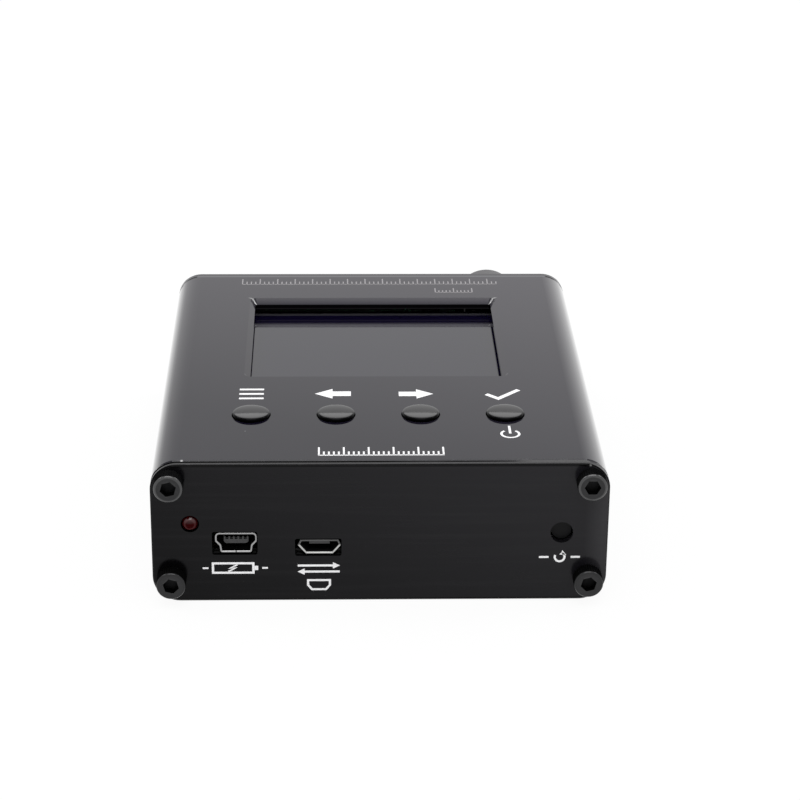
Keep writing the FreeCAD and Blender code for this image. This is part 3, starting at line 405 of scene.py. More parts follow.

# %% [markdown]
# ## The case: black anodised extrusion
#
# Anodising is a clear glassy skin over dyed metal. Seen from above it is nearly black, and at a low
# angle it mirrors the pale room, so the far end of the lid looks greyer than the near end. A
# non-metal shader with a low specular level does that by itself, and a ramp of painted light from
# end to end adds to it. The draw lines of the extrusion run from end to end, and the cut edges have
# rubbed here and there to bare metal. In the window, the rear bevel and the walls carry painted
# shade and mirror nothing, the walls' foot carries a painted highlight, and so do the mitres of the
# rear corners. The tube's front lip carries painted shade where it meets the plate.
# own: the walls are dull, their foot is paler, and the mitres of the rear corners shine.


# %% The window's layers
def lay_window(look):
    """Lays painted shade on the rear bevel and the walls, painted highlights on the mitres and on the
    walls' foot, and presses the side bevels.

    The walls stand at side, front and rear. Returns the mask of the painted shade, which mirrors nothing."""
    side, front, rear = 24.5, -7.5, 32.5
    rear_bevel = look.band(rear - 1.0, rear + 0.35)
    inner = look.band(0.7 - side, side - 0.7, 0.2, X)
    # Painted shade on the rear bevel, darker towards its lower edge and kept clear of the corners.
    shaded = look.times(rear_bevel, inner, look.ramp(lid - 0.01, lid - 1.15, Z), 0.8)
    look.lay(shaded, (0.004, 0.004, 0.005))
    diagonal = math.sqrt(0.5)
    corner = (rear - side) * diagonal
    # Painted highlights along the mitres of the two rear corners.
    for across in (diagonal, -diagonal):
        mitre_highlight = look.band(corner - 0.227, corner + 0.113, 0.14, (across, diagonal, 0.0))
        look.lay(look.times(mitre_highlight, rear_bevel, 0.5), 0.46)
    # Painted shade on the window's walls, which are also made to mirror nothing.
    walls = look.times(look.band(front, rear), look.band(-side, side, axis=X),
                       look.band(lid - 2.6, lid - 1.1, axis=Z))
    look.lay(walls, (0.0090, 0.0082, 0.0098))
    # Painted highlight along the walls' foot.
    look.lay(look.times(walls, look.band(lid - 2.6, lid - 1.82, 0.1, Z)), (0.05, 0.048, 0.052))
    bevels = look.either(*(look.band(side - 0.9, side + 0.7, axis=axis) for axis in (X, LEFT)))
    sunk = look.times(bevels, look.band(front + 0.5, rear - 1.1, 0.2), look.ramp(lid, lid - 1.05, Z))
    look.press(sunk, 0.55)
    return look.either(walls, shaded)


# %% Case finish
def make_case_black():
    look = Finish("case black", (0.0040, 0.0030, 0.0085), 0.035, 0.065, drift=0.12, drift_scale=35.0,
                  grain_scale=2600.0, bump=0.01, stretch=(1.0, 0.25, 1.0), Specular_IOR_Level=0.31)
    # Painted light: the lid lightens towards the rear and the right, standing in for the room's reflection
    # at a low angle.
    look.lay(look.ramp(-38, 62, (0.5, 1.0, 0.0)), (0.031, 0.028, 0.037))
    look.lay(look.rubbed_edges(tube_rear, 0.5, 0.35), (0.26, 0.26, 0.27))
    look.lay(look.pattern(dust, Scale=420.0, Size=0.06, Share=0.010), (0.12, 0.12, 0.13))
    nick = look.round_spot((-34.45, tube_front + 0.15, lid - 0.05), 0.36)
    look.lay(nick, 0.95)
    # The window's painted shade, which mirrors nothing.
    painted_shade = lay_window(look)
    # Painted shade on the tube's front lip, in the joint with the plate; it also mirrors nothing.
    joint_shade = look.band(tube_front - 1.0, tube_front + 0.18)
    look.lay(joint_shade, 0.003)
    look.feed("Metallic", look.either(painted_shade, joint_shade))
    look.feed("Coat Weight", look.either(look.ramp(35.2, 39.2, X), look.ramp(38.0, 39.8, LEFT)))
    return look.material


dress(make_case_black(), "case_tube")

# %% [markdown]
# ## The end plates: brushed, then anodised
#
# The plates are cut from sheet and brushed before the black goes on, so they reflect less evenly
# than the tube. Seen straight on they send back very little of the room. A low specular level gives
# that, and fine lines across the plate give the brushing. The plate's broken edges lie in shade, and
# so does the joint with the tube, whose shade fades out towards the right.
# A ramp of painted light lightens the plate towards the right and the top, more so at its right end.

# %% Plate finish
brushed = dict(drift=0.2, drift_scale=28.0, grain_scale=1500.0, bump=0.02, stretch=(0.12, 1.0, 1.6))


def make_plate_black():
    look = Finish("plate black", (0.0028, 0.0027, 0.0032), 0.15, 0.21, Specular_IOR_Level=0.21, **brushed)
    # Painted light: the plate lightens towards the right and the top, and is half metallic at the left and
    # bottom, which darkens it there.
    across = look.ramp(-30, 75, (1.0, 0.0, 1.6))
    look.lay(across, (0.0085, 0.0080, 0.0100))
    # Painted light on the plate's right end.
    look.lay(look.times(look.ramp(35.8, 39.0, X), 0.5), (0.040, 0.039, 0.042))
    streaks = look.pattern(grain, Scale=900.0, Stretch=(0.03, 1.0, 1.0))
    look.lay(remap(look.tree, streaks, 0.5, 0.8, 0.0, 0.3), (0.015, 0.015, 0.016))
    look.lay(look.rubbed_edges(-plate_face, 0.3, 0.3, 700.0), (0.20, 0.20, 0.21))
    fade = look.either(look.ramp(29, 0, X), 0.08)
    joint = look.times(look.band(tube_front - 0.86, tube_front + 0.2), fade)
    face = look.band(plate_face - 0.2, plate_face + 0.05)
    borders = [look.times(face, look.band(low, high, 0.15, Z), 0.7)
               for low, high in ((lid - 0.5, lid + 0.2), (-1.0, 0.55))]
    shade = look.either(joint, look.band(plate_face + 0.02, plate_face + 0.17), *borders,
                        look.band(-1.0, 0.4, axis=Z))
    look.lay(shade, 0.002)
    nick = look.round_spot((36.4, plate_face, lid - 0.4), 0.3)
    look.lay(nick, 0.22)
    look.feed("Metallic", look.either(remap(look.tree, across, 0.0, 1.0, 0.5, 0.0), shade))
    look.press(look.times(look.ramp(tube_front - 0.86, tube_front - 0.2), fade), 0.7)
    return look.material


dress(make_plate_black(), "front_plate")


# %% Rear plate finish: the same brushing, seen from above, painted lighter, with a painted highlight on its upper edge
def make_rear_plate():
    # Painted light: this black is ten times lighter than the front plate's.
    look = Finish("plate black rear", (0.028, 0.026, 0.032), 0.06, 0.10, Specular_IOR_Level=0.34, **brushed)
    # Painted highlight along the broken upper edge.
    edge_highlight = look.band(tube_rear - 0.1, tube_rear + 0.27)
    look.lay(edge_highlight, (0.065, 0.065, 0.068))
    look.feed("Metallic", edge_highlight)
    return look.material


dress(make_rear_plate(), "rear_plate")

# %% [markdown]
# ## Fasteners, keys and plastics
#
# Black oxide on a screw is thin and oily: dark, a little glossy, with a fine sandy grain. The keys
# are smooth moulded plastic, which shows a clean reflection at its rim. The plungers, bases and
# plugs inside are plain mouldings with the soft grain of a steel mould.

# %% Screws
oxide = dict(drift=0.3, drift_scale=700.0, grain_scale=9000.0)
screw_black = plain("screw black", (0.006, 0.006, 0.007), 0.24, 0.36, bump=0.08, Specular_IOR_Level=0.38,
                    on="front_screws rear_screws", **oxide)
screw_shade = plain("screw shade", (0.013, 0.013, 0.0135), 0.45, 0.6, drift=0.4, drift_scale=900.0,
                    grain_scale=9000.0, Metallic=1.0, Specular_Tint=(0.25, 0.25, 0.25, 1.0))


def make_screw_rim():
    """The rolled edge is burnished; on the lower screws a metallic share darkens it as painted shade."""
    look = Finish("screw rim", (0.006, 0.006, 0.007), 0.16, 0.26, Specular_IOR_Level=0.88, **oxide)
    # Painted shade on the rims of the lower screws.
    look.feed("Metallic", look.times(look.ramp(16, 9, Z), 0.6))
    return look.material


screw_rim = make_screw_rim()


# %% Keys
def make_key_black():
    """Glossy on top, with painted shade on the near side where it drops away from the rim."""
    look = Finish("key black", (0.0030, 0.0025, 0.0040), 0.08, 0.12, drift=0.15, drift_scale=300.0,
                  grain_scale=6000.0, bump=0.01, Specular_IOR_Level=0.36)
    high, middle = box_of("key_cap_menu")[1:]
    side = look.ramp(high.z - 0.20, high.z - 0.28, Z)
    # Painted shade: the near side under the rim is darkened and made to mirror nothing.
    painted_shade = look.times(side, look.ramp(middle.y + 0.8, middle.y - 0.4))
    look.lay(painted_shade, (0.0035, 0.0035, 0.0038))
    look.feed("Metallic", painted_shade)
    return look.material


key_black = make_key_black()
dress(key_black, "key_cap_menu key_cap_left key_cap_right key_cap_ok")

# %% Mouldings
moulded = dict(drift=0.15, grain_scale=5000.0)
plain("plastic white", (0.80, 0.79, 0.74), 0.38, 0.5, drift=0.04, grain_scale=5000.0, bump=0.06,
      Subsurface_Weight=0.05, on="key_plunger_menu key_plunger_left key_plunger_right key_plunger_ok "
      "display_backlight rf_jack_insulator battery_plug battery_socket")
plain("plastic black", (0.012, 0.012, 0.013), 0.36, 0.5, bump=0.08,
      on="switch_bases link_socket link_header", **moulded)
plain("plastic grey", (0.026, 0.026, 0.027), 0.40, 0.5, bump=0.08,
      on="charging_socket_insert data_socket_insert", **moulded)
plain("button black", (0.004, 0.004, 0.0045), 0.40, 0.5, Specular_IOR_Level=0.12,
      on="reset_plunger", **moulded)

# %% [markdown]
# ## Metals
#
# The socket shells and switch covers are stamped bright steel, with a faint rolling grain. The tin
# on pins and cans is softer and duller. Brass posts are warm, and the port's body is nickel, which
# is a little yellower than steel and polished.

# %% Steel
steel = dict(drift_scale=400.0, grain_scale=5000.0, bump=0.06, Metallic=1.0)
rolled = dict(stretch=(1.0, 0.15, 1.0), **steel)
steel_bright = plain("steel bright", (0.47, 0.47, 0.46), 0.16, 0.28, **rolled, on="data_socket_shell "
                     "switch_covers switch_domes display_board_screws main_board_screws")
# A darker copy of the bright steel, for the charging socket's shell.
steel_darker = plain("steel satin", 0.33, 0.16, 0.28, on="charging_socket_shell", **rolled)
# Dull grey on the contacts; the same steel is painted shade on the small socket's upper side.
steel_dull_and_shade = plain("steel dull", 0.10, 0.3, 0.45, drift=0.2, **steel,
                   on="charging_socket_contacts data_socket_contacts")
steel_shade = plain("steel shade", (0.030, 0.030, 0.031), 0.35, 0.5, drift=0.2, **steel)

# %% Tin, brass and nickel
plain("pin tin", (0.68, 0.68, 0.66), 0.28, 0.42, drift=0.1, drift_scale=300.0, grain_scale=4000.0,
      bump=0.08, Metallic=1.0, on="switch_legs charge_lamp_legs rf_shield_fence rf_shield_lid")
plain("brass", (0.80, 0.58, 0.24), 0.20, 0.34, drift=0.12, drift_scale=400.0, grain_scale=5000.0,
      Metallic=1.0, on="board_spacers link_pins rf_jack_contact")
plain("nickel", (0.72, 0.70, 0.65), 0.10, 0.2, drift=0.05, drift_scale=200.0, grain_scale=6000.0,
      bump=0.03, Metallic=1.0, on="rf_jack_body rf_jack_nut rf_jack_washer")

# %% [markdown]
# ## The display
#
# Switched off, the display is a dark film behind a smooth matt surface, a touch bluer than the case
# because of its coatings. A soft paler band near the rear and a paler strip along its rear edge,
# which lies in shade under the lid, are painted light. The glass round the film is printed black from
# behind, and only its gloss makes it read as glass.


# %% Display finishes
def make_display_face():
    look = Finish("display face", (0.0030, 0.0020, 0.0105), 0.035, 0.05, drift=0.06, drift_scale=30.0,
                  grain_scale=9000.0, bump=0.01, IOR=1.54)
    edge = box_of("display_polarizer")[1].y - 0.5
    # Painted light: a soft paler band near the rear of the film.
    painted_light_band = look.times(look.ramp(edge - 4.3, edge - 5.8), look.ramp(edge - 7.0, edge - 6.6))
    look.lay(painted_light_band, (0.060, 0.058, 0.068))
    # Painted light along the rear edge, which lies in shade under the lid.
    look.lay(look.band(edge - 0.6, edge + 1.0, 0.2), (0.034, 0.033, 0.038))
    look.lay(look.pattern(dust, Scale=600.0, Size=0.06, Share=0.01), (0.12, 0.12, 0.13))
    return look.material


dress(make_display_face(), "display_polarizer")
plain("display glass", (0.004, 0.004, 0.007), 0.04, 0.06, drift=0.05, grain_scale=9000.0, bump=0.01,
      IOR=1.52, on="display_glass")

# %% [markdown]
# ## Boards, chips and the battery
#
# A board's green is a thin lacquer over copper tracks, so the tracks show as slightly paler bands.
# A brick pattern read from above makes such bands cheaply. The strip behind the sockets' cut-outs
# carries painted shade, so that it shows as dark as the inside of the case from outside. Chips are
# dull black moulding compound, the cable is amber film, and the cell is crinkled foil.


# %% Board finish
def make_board_green():
    look = Finish("board green", (0.010, 0.085, 0.035), 0.22, 0.32, drift=0.12, drift_scale=80.0,
                  grain_scale=4000.0, Coat_Weight=0.3)
    tracks = add(look.tree, "ShaderNodeTexBrick", in_Vector=look.place, in_Scale=260.0, in_Mortar_Size=0.10,
                 in_Brick_Width=2.3, in_Row_Height=0.5, in_Color1=(0, 0, 0, 1), in_Color2=(0, 0, 0, 1),
                 in_Mortar=(1, 1, 1, 1))
    look.lay(look.times(tracks.outputs["Fac"], 0.5), (0.03, 0.20, 0.07))
    # Painted shade on the strip behind the sockets' cut-outs, as dark as the inside of the case.
    look.lay(look.band(tube_front - 5.0, tube_front + 4.5), 0.003)
    return look.material


dress(make_board_green(), "display_board main_board battery_protection_board")

# %% Chips, film, foam, foil, wire and cap
plain("chip black", (0.018, 0.018, 0.019), 0.45, 0.6, drift=0.15, drift_scale=500.0, grain_scale=7000.0,
      bump=0.15, on="display_driver_chip rf_chips processor_chip charger_chip")
plain("flex amber", (0.45, 0.19, 0.035), 0.18, 0.28, drift=0.1, drift_scale=200.0, grain_scale=1200.0,
      bump=0.04, stretch=(0.05, 1.0, 1.0), Coat_Weight=0.4, on="display_flex")
plain("foam grey", (0.11, 0.11, 0.115), 0.85, 0.95, drift=0.25, drift_scale=2500.0, grain_scale=2500.0,
      bump=0.6, on="display_pad battery_pad")
plain("battery silver", (0.62, 0.63, 0.65), 0.24, 0.40, drift_scale=70.0, grain_scale=260.0, bump=0.5,
      Metallic=0.9, on="battery_cell")
plain("wire red", (0.42, 0.012, 0.012), 0.38, 0.5, bump=0.06, on="battery_leads")
plain("cap grey", (0.045, 0.043, 0.048), 0.14, 0.22, drift=0.12, drift_scale=120.0, grain_scale=4500.0,
      bump=0.04, on="rf_jack_cap")

# %% [markdown]
# ## The lamp
#
# The charge lamp is a tinted moulding over a small metal cup. Unlit, it looks like a dark red bead
# with a paler ring where the cup's rim sits behind the plastic. The ring is drawn by the distance
# from the lamp's axis, and a clear coat on the upper half gives the bead its sharp highlight.


# %% Lamp finish
def make_lamp_red():
    look = Finish("lamp red", (0.024, 0.0004, 0.0007), 0.12, 0.18, drift=0.05, grain_scale=4000.0, bump=0.01,
                  Coat_Roughness=0.05, Specular_IOR_Level=0.02)
    middle = box_of("charge_lamp")[2]
    disc = look.round_spot((middle.x, 0.0, middle.z), 2.0, axes=(1.0, 0.0, 1.0))
    ring = look.times(remap(look.tree, disc, 0.42, 0.52), remap(look.tree, disc, 0.66, 0.58))
    look.lay(ring, (0.058, 0.016, 0.017))
    look.feed("Coat Weight", look.times(look.ramp(middle.z + 0.1, middle.z + 0.9, Z), 0.95))
    return look.material


dress(make_lamp_red(), "charge_lamp")

# %% [markdown]
# ## From arrays of points to pieces
#
# Every new shape below is a grid of points worked out with numpy, in millimetres. Its faces join
# neighbours on the grid, and a direction that closes, such as the way round a screw, also joins its
# last line to its first. One function turns such arrays into a piece of the object. It closes the
# mesh up, so that all faces point outwards and the small rings at an axis become points.


# %% Faces on a grid, and meshes
def grid_faces(rows, columns, rows_close=True, columns_close=True):
    """Quads between the neighbours on a grid of rows times columns points, as an array."""
    row = np.arange(rows if rows_close else rows - 1)[:, None]
    column = np.arange(columns if columns_close else columns - 1)[None, :]
    next_row, next_column = (row + 1) % rows, (column + 1) % columns
    corners = ((row, column), (next_row, column), (next_row, next_column), (row, next_column))
    return np.stack([r * columns + c for r, c in corners], axis=-1).reshape(-1, 4)


def new_object(name, points, faces, *materials):
    """An object in the scene, from points in millimetres and faces of point numbers."""
    mesh = bpy.data.meshes.new(name)
    mesh.from_pydata((np.asarray(points, float) * MM).tolist(), [], [list(map(int, face)) for face in faces])
    for material in materials:
        mesh.materials.append(material)
    made = bpy.data.objects.new(name, mesh)
    bpy.context.scene.collection.objects.link(made)
    return made


def close_up(mesh, weld):
    """Merges points closer than weld metres, and turns faces outwards. Edges over 35 degrees stay crisp."""
    work = bmesh.new()
    work.from_mesh(mesh)
    bmesh.ops.remove_doubles(work, verts=work.verts, dist=weld)
    bmesh.ops.recalc_face_normals(work, faces=work.faces)
    for edge in work.edges:
        edge.smooth = len(edge.link_faces) == 2 and edge.calc_face_angle(0.0) < math.radians(35)
    work.to_mesh(mesh)
    work.free()


def add_piece(name, points, faces, body, slot, *materials, kinds=0, weld=0.0):
    """A piece that rides on a body and wears the materials given.

    Kinds picks each face's material. A piece with a weld distance is shaded smooth. The slot is not used."""
    piece = new_object(name, points, faces, *materials)
    polygons = piece.data.polygons
    polygons.foreach_set("use_smooth", np.full(len(polygons), weld > 0))
    polygons.foreach_set("material_index", np.broadcast_to(kinds, (len(polygons),)).astype(np.int32))
    close_up(piece.data, weld)
    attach(piece, body)
    return piece


print("a closed grid of 6 times 4 points has", len(grid_faces(6, 4)), "faces")

# %% [markdown]
# ## White printed marks
#
# The marks are screen-printed ink, white or grey: sharp-edged, even, and only a few hundredths of a
# millimetre thick. Each one is a stroke, so one function makes them all. It carries a rectangular section
# along a path of points, and the stroke's half width may change from point to point, which draws an
# arrow's head as easily as a bar.

# %% A stroke of ink
ink_above = 0.02
ink_below = 0.01
ink_section = ((-1.0, -ink_below), (-1.0, ink_above), (1.0, ink_above), (1.0, -ink_below))


def stroke(path, half_width, closed=False, section=ink_section):
    """Points and faces of a stroke, the points as an array of (points, corners, 3) in millimetres.

    At each point the path's direction is the mean of the runs before and after it, and the section
    is set square to that direction. A section's corner is (side, height), where side is -1 on the
    right edge of the stroke and 1 on the left one, in half widths."""
    points = np.asarray(path, float)
    widths = np.broadcast_to(np.asarray(half_width, float), (len(points),))
    if closed:
        runs = (points - np.roll(points, 1, 0), np.roll(points, -1, 0) - points)
    else:
        between = np.diff(points, axis=0)
        runs = (np.vstack([between[:1], between]), np.vstack([between, between[-1:]]))
    before, after = (run / np.linalg.norm(run, axis=1, keepdims=True) for run in runs)
    along = before + after
    along /= np.linalg.norm(along, axis=1, keepdims=True)
    square = np.stack([-along[:, 1], along[:, 0]], axis=1)
    turn = np.sqrt(np.clip((1 + (before * after).sum(1)) / 2, 0.2, 1.0))
    reach = (widths / turn)[:, None] * square
    side, height = np.asarray(section, float).T
    corners = np.zeros((len(points), len(side), 3))
    corners[..., :2] = points[:, None] + reach[:, None] * side[None, :, None]
    corners[..., 2] = height
    faces = grid_faces(len(points), len(side), rows_close=closed).tolist()
    if not closed:
        last = corners.shape[0] * corners.shape[1]
        faces += [list(range(len(side))), list(range(last - 1, last - len(side) - 1, -1))]
    return corners, faces


bar = stroke([(0, 0), (10, 0)], 0.5)[0]
print("a 10 mm bar spans", bar.min((0, 1)), "to", bar.max((0, 1)))

# %% [markdown]
# ## From drawings to marks on the case
#
# A mark is drawn flat, then laid on the lid or stood on the front plate by turning its third axis
# into the face's direction. Several strokes make one object, so each mark is one piece.


# %% Laying marks on a face
def lay_on_lid(flat):
    """Flat drawing to the lid: x and y stay, the thickness goes up from the top face."""
    return flat + np.array([0.0, 0.0, lid])


def stand_on_plate(flat):
    """Flat drawing to the front plate: its y becomes height, and the thickness points forward."""
    return np.stack([flat[..., 0], plate_face - flat[..., 2], flat[..., 1]], axis=-1)


def gather(parts):
    """Many parts of (points, quads) as one: the quads of each count on from the points before it."""
    points, quads, used = [], [], 0
    for part_points, part_quads in parts:
        points.append(part_points.reshape(-1, 3))
        quads.append(np.array(part_quads) + used)
        used += len(points[-1])
    return np.vstack(points), np.vstack(quads)


def printed_mark(name, strokes, placed, colour=None):
    """One piece from strokes, each a path, its half width and, if it is closed, True."""
    points, faces = gather(stroke(*parts) for parts in strokes)
    add_piece(name, placed(points), faces, "case", "plastic_white", colour or ink_white)
    print("mark:", name, len(faces), "faces")


printed = dict(drift_scale=900.0, grain_scale=5000.0, bump=0.12)
ink_white = plain("ink white", (0.82, 0.82, 0.83), 0.5, 0.62, drift=0.07, **printed)
ink_grey = plain("ink grey", (0.26, 0.25, 0.26), 0.5, 0.62, drift=0.2, **printed)


# %% Marks over the keys
def dash(left, right, height, half_width):
    """One level stroke."""
    return [(left, height), (right, height)], half_width


def arrow(tip, tail, head, shaft, back):
    """An arrow as one stroke: a point, the head's back at half width head, then a narrower shaft."""
    tip, tail = np.array(tip, float), np.array(tail, float)
    run = (tail - tip) / np.linalg.norm(tail - tip)
    neck = tip + run * back
    return [tip, neck, neck + run * 0.01, tail], [0.02, head, shaft, shaft]


menu_rows = (-18.09, -16.03, -13.97)
printed_mark("mark_menu", [dash(-25.38, -20.89, y, 0.36) for y in menu_rows], lay_on_lid)
left_arrow = arrow((-11.51, -16.04), (-4.88, -16.04), head=2.2, shaft=1.05, back=3.25)
right_arrow = arrow((10.27, -16.22), (3.93, -16.22), head=2.15, shaft=1.0, back=3.1)
printed_mark("mark_left", [left_arrow], lay_on_lid)
printed_mark("mark_right", [right_arrow], lay_on_lid)
printed_mark("mark_accept", [([(20.05, -16.44), (22.15, -18.47), (26.14, -14.45)], 0.46)], lay_on_lid)


# %% The power mark and the scales
def arc(centre, radius, start, stop, count=40):
    """Points on a circle's arc between two angles in degrees, as one array."""
    angle = np.radians(np.linspace(start, stop, count))
    return np.stack([centre[0] + radius * np.cos(angle), centre[1] + radius * np.sin(angle)], axis=1)


def tick_scale(left, right, base, count, short, tall, every, half_width=0.12):
    """Strokes of a plain scale: one base line and evenly spaced ticks, every few of them taller."""
    places = np.linspace(left, right, count)
    heights = np.where(np.arange(count) % every == 0, tall, short)
    ticks = [([(x, base), (x, base + h)], half_width) for x, h in zip(places, heights)]
    return [dash(left - half_width, right + half_width, base, half_width)] + ticks


printed_mark("mark_power", [(arc((23.3, -34.13), 1.58, 128, 412), 0.22),
                            ([(23.3, -33.98), (23.3, -30.7)], 0.22)], lay_on_lid)
key_scale = tick_scale(-10.69, 11.08, -42.88, 26, short=1.5, tall=3.3, every=5, half_width=0.16)
header_scale = tick_scale(-26.6, 25.5, 40.35, 59, short=1.5, tall=3.0, every=4)
subhead_scale = tick_scale(12.8, 20.3, 35.6, 11, short=1.2, tall=2.4, every=5)
printed_mark("mark_scale", key_scale, lay_on_lid)
printed_mark("mark_header", header_scale, lay_on_lid, ink_grey)
printed_mark("mark_subhead", subhead_scale, lay_on_lid, ink_grey)

# %% [markdown]
# ## Marks on the front plate
#
# These stand upright and are read from the front. The charging socket gets a cell with a bolt in
# it, the data socket two opposite arrows over a plug's outline, and the reset button a turning
# arrow between two dashes.

# %% Marks under the sockets and the button
printed_mark("mark_charging", [
    ([(-29.36, 5.62), (-22.27, 5.62), (-22.27, 7.47), (-29.36, 7.47)], 0.2, True),
    dash(-22.05, -21.42, 6.55, 0.42),
    ([(-25.07, 7.21), (-26.37, 6.5), (-25.37, 6.58), (-26.67, 5.88)], 0.16),
    dash(-31.16, -30.16, 6.54, 0.17),
    dash(-20.72, -19.72, 6.55, 0.17)], stand_on_plate)

printed_mark("mark_data", [
    arrow((-7.09, 6.97), (-14.48, 6.97), 0.62, 0.2, 1.2),
    arrow((-14.48, 5.77), (-7.09, 5.77), 0.62, 0.2, 1.2),
    ([(-11.98, 2.26), (-9.53, 2.26), (-8.83, 3.11), (-8.83, 4.07), (-12.68, 4.07), (-12.68, 3.11)],
     0.19, True)], stand_on_plate)

printed_mark("mark_reset", [
    (arc((31.62, 8.44), 0.86, 60, -205), 0.19),
    ([(31.55, 8.95), (32.35, 9.05), (32.05, 9.75)], [0.02, 0.30, 0.02]),
    dash(27.97, 29.67, 8.44, 0.19),
    dash(33.56, 35.21, 8.44, 0.19)], stand_on_plate)

# %% [markdown]
# ## The key tops
#
# A key top is a turned form: a very low dome that falls faster near its rim. A profile is a curve of
# radius and height, and turning it round the key's axis gives a grid of points by angle and by place
# along the profile. The dome's far side leans away and catches the pale room as a thin bright
# crescent, and its near side mirrors the lamp behind the object.

# %% Turning a profile
weld_distance = 4e-6
axis_radius = 0.001
key_radius = 3.35
key_turns = 96


def angles(turns):
    """Evenly spaced angles round a circle, as a column."""
    return np.linspace(0.0, 2 * np.pi, turns, endpoint=False)[:, None]


def around(reach, angle, place, along):
    """Points round an axis through place: place + reach * (cos, sin) of the angle, then along."""
    return np.stack([place[0] + reach * np.cos(angle), place[1] + reach * np.sin(angle),
                     np.broadcast_to(along, reach.shape)], axis=-1)


def key_profile(radius, top, bottom, flange_radius, flange_height=0.6, edge=0.28, pocket=(1.8, 0.6)):
    """From the middle of the dome out over the rim, down the side, round the flange and underneath.

    The dome is given by its downward slope, and its height is the running sum of slope times step.
    An arc then joins it to the side."""
    steepest = 0.27
    across = np.linspace(axis_radius, radius - edge, 40)
    fall = np.interp(across, (0.0, 1.0, 2.0, 2.6, radius - edge), (0.0, 0.035, 0.08, 0.12, steepest))
    bowl = top - np.concatenate([[0.0], np.cumsum((fall[1:] + fall[:-1]) / 2 * np.diff(across))])
    start = np.pi / 2 - np.arctan(steepest)
    bend = np.linspace(start, 0.0, 7)
    rim_radius = across[-1] + edge * (np.cos(bend) - np.cos(start)) / (1 - np.cos(start))
    rim_height = bowl[-1] + edge * (np.sin(bend) - np.sin(start))
    under = bottom + pocket[1]
    skirt = [(radius, bottom + flange_height), (flange_radius, bottom + flange_height),
             (flange_radius, bottom), (pocket[0], bottom), (pocket[0], under), (axis_radius, under)]
    dome, rim = (np.stack(curve, axis=1) for curve in ((across, bowl), (rim_radius, rim_height)))
    return np.vstack([dome, rim[1:], skirt])


def make_key_top(name):
    """A smooth key that stands for the plain key of the same size and place."""
    low, high, middle = box_of("key_cap_" + name)
    radius, height = key_profile(key_radius, high.z, low.z, high.x - middle.x).T
    grid = around(np.tile(radius, (key_turns, 1)), angles(key_turns), middle, height)
    faces = grid_faces(key_turns, len(radius), True, False)
    piece = add_piece("key_top_" + name, grid.reshape(-1, 3), faces, "key_" + name, "key_black", key_black,
                      weld=weld_distance)
    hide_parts("key_cap_" + name)
    print("key top:", name, "radius", round(high.x - middle.x, 2), "mm")


for key in ("menu", "left", "right", "ok"):
    make_key_top(key)

# %% [markdown]
# ## The screws
#
# A socket-head screw is turned, knurled and pressed: a rounded rim, a face ring, a chamfer into the
# hexagon, straight knurls down its side, and a rolled thread. All of them are radii that depend on
# the angle and on the place along the axis, so one grid holds a head and another holds a thread.

# %% Heads and threads
FACE, HEXAGON, KNURL, SHADED_ROLL, RIM = range(5)
head_turns = 288
head_radius = 2.75


def hexagon_reach(across, angle):
    """Distance from the axis to the side of a hexagon: half its width over the cosine of the angle
    from the side's middle."""
    return across / 2 / np.cos((angle + np.pi / 6) % (np.pi / 3) - np.pi / 6)


def head_grid(rows, across, twist, teeth=36, tooth_depth=0.12):
    """Reach and place of each point of a head, from rows of (radius, out, form)."""
    radius, out, form = np.asarray(rows, float).T
    turn = angles(head_turns)
    tooth = tooth_depth * (1 - np.abs(np.cos(turn * teeth / 2)))
    hexagon = hexagon_reach(across, turn - math.radians(twist)) * radius
    return np.where(form == HEXAGON, hexagon, radius - np.where(form == KNURL, tooth, 0.0)), out


def thread_grid(start, stop, radius=1.5, pitch=0.5, depth=0.27, turns=40):
    """Reach and place of each point of a thread, whose last turn tapers to the tip.

    The radius falls by a triangle wave of pitch and angle."""
    out = np.linspace(start, stop, int(abs(stop - start) / pitch * 6) + 1)[None, :]
    phase = (out / pitch + angles(turns) / (2 * np.pi)) % 1.0
    taper = np.clip(np.abs(out - stop) / 0.5, 0.0, 1.0) * 0.3 + 0.7
    reach = (radius - depth * np.abs(2 * phase - 1)) * taper
    middle = np.full((turns, 1), axis_radius)
    ends = np.concatenate([out[:, :1], out, out[:, -1:]], axis=1)
    return np.concatenate([middle, reach, middle], axis=1), ends


def screw_set(name, rows, seat, outward, across, thread):
    """Four screws as one piece: a head grid and a thread grid at each place.

    A screw stops turning wherever it is tight, so each hexagon stands at its own angle. A face's
    kind is 0 for the black skin, 1 for the burnished rim and 2 for the shaded parts."""
    low, high = box_of(name)[:2]
    sides = (low.x + head_radius, high.x - head_radius)
    levels = (low.z + head_radius, high.z - head_radius)
    parts = []
    for place, twist in zip(((x, z) for x in sides for z in levels), (15, -15, -15, 30)):
        for reach, out in (head_grid(rows, across, twist), thread_grid(*thread)):
            grid = around(reach, angles(len(reach)), place, seat + outward * out)[..., [0, 2, 1]]
            parts.append((grid, grid_faces(*reach.shape, True, False)))
    form = np.array([row[2] for row in rows[1:]])
    kind = np.where(form == RIM, 1, np.where(form == FACE, 0, 2))
    kinds = np.concatenate([np.tile(kind, head_turns), np.full(len(parts[1][1]), 2)])
    points, faces = gather(parts)
    piece = add_piece(name.replace("screws", "bolts"), points, faces, "case", "screw_black",
                      screw_black, screw_rim, screw_shade, kinds=np.tile(kinds, 4), weld=weld_distance)
    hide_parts(name)
    print(name + ":", len(faces), "faces")


